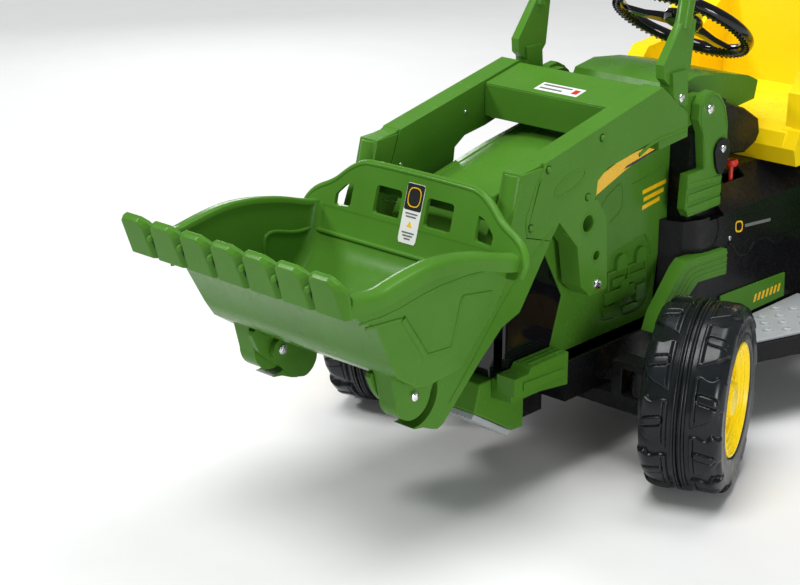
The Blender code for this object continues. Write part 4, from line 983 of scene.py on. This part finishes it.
def tread(name, centre, axis, radius, width, bore, body, node):
    """A blown tyre: a double ridge round the middle, slanted lugs with an oval pad each, smooth walls."""
    steps, lugs = 720, 10
    half, shoulder, wall = width / 2, 0.16 * width, 0.006
    scale = radius / 0.15
    depth = 0.0092 * scale
    right = [(radius, a) for a in np.linspace(0, half - shoulder, 40)]
    for t in np.linspace(0, math.pi / 2, 15)[1:]:
        right.append((radius - shoulder + shoulder * math.cos(t), half - shoulder + shoulder * math.sin(t)))
    for t in np.linspace(0, 1, 8)[1:]:
        right.append((radius - shoulder + (bore + 0.012 - radius + shoulder) * t,
                      half - 0.0035 * math.sin(t * 2.6)))
    shown = len(right)
    right += [(bore + 0.003, half - 0.0045), (bore, half - 0.009), (bore, half - 0.009 - wall),
              (bore + 0.012, half - 0.006 - wall), (radius - shoulder, half - wall), (radius - wall,
                                                                                      half - shoulder)]
    right = np.array(right)
    left = right[:0:-1] * (1, -1)
    loop = np.vstack([right, left])
    r, a = loop[:, 0], loop[:, 1]
    outer = np.zeros(len(loop), bool)
    outer[:shown] = True
    outer[len(loop) - shown + 1:] = True
    run = np.abs(a) + np.where(np.abs(a) > half - shoulder, radius - r, 0)
    theta = 2 * np.pi * np.arange(steps) / steps
    turn, radial = np.meshgrid(theta, r, indexing="ij")
    axial, run = np.broadcast_to(a, turn.shape), np.broadcast_to(run, turn.shape)
    upward = np.pi - turn if axis.x > 0 else turn
    around = (upward * lugs / (2 * np.pi) + np.where(axial > 0, 0.0, 0.435)) % 1.0
    height = tread_height(run / scale, around, half / scale)
    fade = 1 - step(run, half * 1.26, 0.003)
    drop = depth * (height - 1) * fade
    drop[:, ~outer] = 0
    lean = np.clip((r - (radius - shoulder)) / shoulder, 0, 1)
    lean = np.where(np.abs(a) > half - shoulder, lean, 1.0)
    radial = radial + drop * lean
    axial = axial + drop * np.sign(a) * np.sqrt(1 - lean ** 2)
    points = np.stack([radial * np.cos(turn), radial * np.sin(turn), axial], axis=-1).reshape(-1, 3)
    count = len(loop)
    i, j = np.meshgrid(np.arange(steps), np.arange(count), indexing="ij")
    i2, j2 = (i + 1) % steps, (j + 1) % count
    quads = np.stack([i * count + j, i2 * count + j, i2 * count + j2, i * count + j2], axis=-1).reshape(-1, 4)
    mesh = bpy.data.meshes.new(name)
    mesh.from_pydata(points.tolist(), [], quads.tolist())
    bm = bmesh.new()
    bm.from_mesh(mesh)
    bpy.data.meshes.remove(mesh)
    moved(bm, wheel_frame(centre, axis))
    return piece(name, closed(bm), TYRE, body, (node,), smooth=60)


def hub(name, centre, axis, radius, half, body, node):
    """A dished hub: a bright lip, three steps inwards, three hollows, three slots and a plain boss."""
    bore, rim, k = 0.0063, half - 0.004, radius / 0.09
    back = rim - 0.022
    face = [(radius, rim - 0.004), (radius - 0.0006, rim - 0.0012), (radius - 0.0022, rim),
            (radius - 0.0048, rim - 0.0006),
            (radius - 0.0075 * k, rim - 0.006), (radius - 0.013 * k, rim - 0.0066), (radius - 0.015 * k,
                                                                                     rim - 0.0096),
            (radius - 0.0205 * k, rim - 0.0102), (radius - 0.0225 * k, rim - 0.0136), (radius - 0.027 * k,
                                                                                       rim - 0.0145),
            (0.03 * k, rim - 0.0145), (0.028 * k, rim - 0.0135), (0.0265 * k, rim - 0.007), (0.0235 * k,
                                                                                             rim - 0.0048),
            (0.012 * k, rim - 0.0042), (0, rim - 0.004)]
    inner = [(0, half - 0.0125), (bore, half - 0.0125), (bore, -half + 0.011), (radius * 0.25, -half + 0.011),
             (radius * 0.25, back), (radius - 0.008, back), (radius - 0.004, -half + 0.014), (radius,
                                                                                              -half + 0.014)]
    shell = turned(inner + face, (0, 0, 0), (0, 0, 1), 80)
    cuts = []
    for n in range(3):
        spin = Matrix.Rotation(math.radians(108 + 120 * n), 4, "Z")
        outline = [(0.045 * k, -0.0024 * k), (0.059 * k, -0.0024 * k), (0.059 * k, 0.0024 * k),
                   (0.045 * k, 0.0024 * k)]
        slot = moved(prism(flat_rounded(outline, 0.2, 2), back - 0.002, rim, "Z"), spin)
        hollow = [(0.036 * k, -0.02 * k), (0.056 * k, -0.024 * k), (0.06 * k, 0.0), (0.056 * k, 0.024 * k),
                  (0.036 * k, 0.02 * k), (0.035 * k, 0.0)]
        well = prism(flat_rounded(hollow, 0.25, 2), rim - 0.0195, rim, "Z")
        moved(well, spin @ Matrix.Rotation(math.radians(60), 4, "Z"))
        cuts += [slot, well]
    shell = combined([shell], cuts)
    moved(shell, wheel_frame(centre, axis))
    piece(name, shell, YELLOW, body, (node,), 0.0008, 2, 25)


def wheels():
    sizes = {"front": (0.15, 0.13, 0.0904), "rear": (0.2, 0.15, 0.1204)}
    for end, (radius, width, bore) in sizes.items():
        for side, sign in SIDES:
            joint = JOINTS[f"{end}_{side}_spin"]
            centre = Vector(joint["pos_m"]) - Vector((0, DATUM_Y, 0))
            axis = Vector(joint["axis"]) * sign
            body = joint["child"]
            tread(f"{end}_{side}_tread", centre, axis, radius, width, bore, body, f"{end}_{side}_tyre")
            hub(f"{end}_{side}_dish", centre, axis, bore - 0.0004, width / 2, body, f"{end}_{side}_hub")


def drive():
    for node in ("rear_axle", "battery", "gearmotor_left", "gearmotor_right"):
        refined(node, 0.001 if node == "rear_axle" else 0.003)
    for side, sign in SIDES:
        for kind, body, point, radius in (("boom_pin", "tractor", (sign * 0.1652, 0.19, 0.544), 0.0085),
                                          ("bucket_pin", "boom", (sign * 0.1588, *BUCKET_PIVOT), 0.0075)):
            refined(f"{kind}_{side}", 0.0006)
            screw(f"{kind}_head_{side}", point, (sign, 0, 0), radius, CHROME, body, 0.0055)
        screw(f"bucket_pin_inner_{side}", (sign * 0.1036, *BUCKET_PIVOT), (-sign, 0, 0), 0.0078, CHROME,
              "boom", 0.003)
        screw(f"lever_bolt_{side}", (sign * 0.158, 0.12, 0.573), (sign, 0, 0), 0.007, CHROME, "boom", 0.0034)


# Set and camera
def light(name, kind, location, target, energy, size):
    data = bpy.data.lights.new(name, kind)
    data.energy = energy
    if kind == "AREA":
        data.size = size
    if kind == "SUN":
        data.angle = math.radians(30)
    made = bpy.data.objects.new(name, data)
    made.location = location
    made.rotation_mode = "QUATERNION"
    made.rotation_quaternion = (Vector(target) - Vector(location)).to_track_quat("-Z", "Y")
    bpy.context.scene.collection.objects.link(made)


def stage():
    floor_mesh = bpy.data.meshes.new("floor")
    bm = bmesh.new()
    bmesh.ops.create_grid(bm, x_segments=1, y_segments=1, size=30)
    bm.to_mesh(floor_mesh)
    bm.free()
    floor_mesh.materials.append(plastic("floor_white", (0.74, 0.74, 0.74), 0.8, grain=0.0, mottle=0.01))
    floor = bpy.data.objects.new("floor", floor_mesh)
    floor.location.z = -0.0005
    bpy.context.scene.collection.objects.link(floor)
    scene = bpy.context.scene
    scene.view_settings.view_transform = "Standard"
    world = bpy.data.worlds.new("studio")
    world.use_nodes = True
    back = world.node_tree.nodes["Background"]
    back.inputs["Color"].default_value = (0.95, 0.98, 1.0, 1)
    back.inputs["Strength"].default_value = 0.2
    scene.world = world
    light("sun", "SUN", (0.1, -1.3, 3.6), (0, 0, 0), 2.2, 0)
    light("key", "AREA", (-1.9, -2.4, 2.6), (0, -0.4, 0.3), 55, 0.6)
    light("fill", "AREA", (3.2, -1.2, 0.7), (0, -0.2, 0.3), 40, 1.0)
    light("rim", "AREA", (-2.8, 1.6, 1.3), (0, -0.2, 0.4), 13, 0.8)
    light("top", "AREA", (0.3, 0.4, 3.0), (0, -0.1, 0.2), 30, 1.2)


def camera():
    azimuth, elevation = 0.7489, 0.34001
    data = bpy.data.cameras.new("camera")
    data.sensor_width = 36.0
    data.lens = 36.0 * 1873.3 / 800
    data.clip_end = 100
    made = bpy.data.objects.new("camera", data)
    made.location = (1.78074, -2.26956 + DATUM_Y, 1.26123)
    forward = Vector((-math.sin(azimuth) * math.cos(elevation), math.cos(azimuth) * math.cos(elevation),
                      -math.sin(elevation)))
    made.rotation_mode = "QUATERNION"
    made.rotation_quaternion = forward.to_track_quat("-Z", "Y")
    bpy.context.scene.collection.objects.link(made)
    bpy.context.scene.camera = made


bucket()
lip()
label()
boom()
bonnet()
front_end()
body_parts()
seat_and_controls()
steering()
wheels()
drive()
stage()
camera()
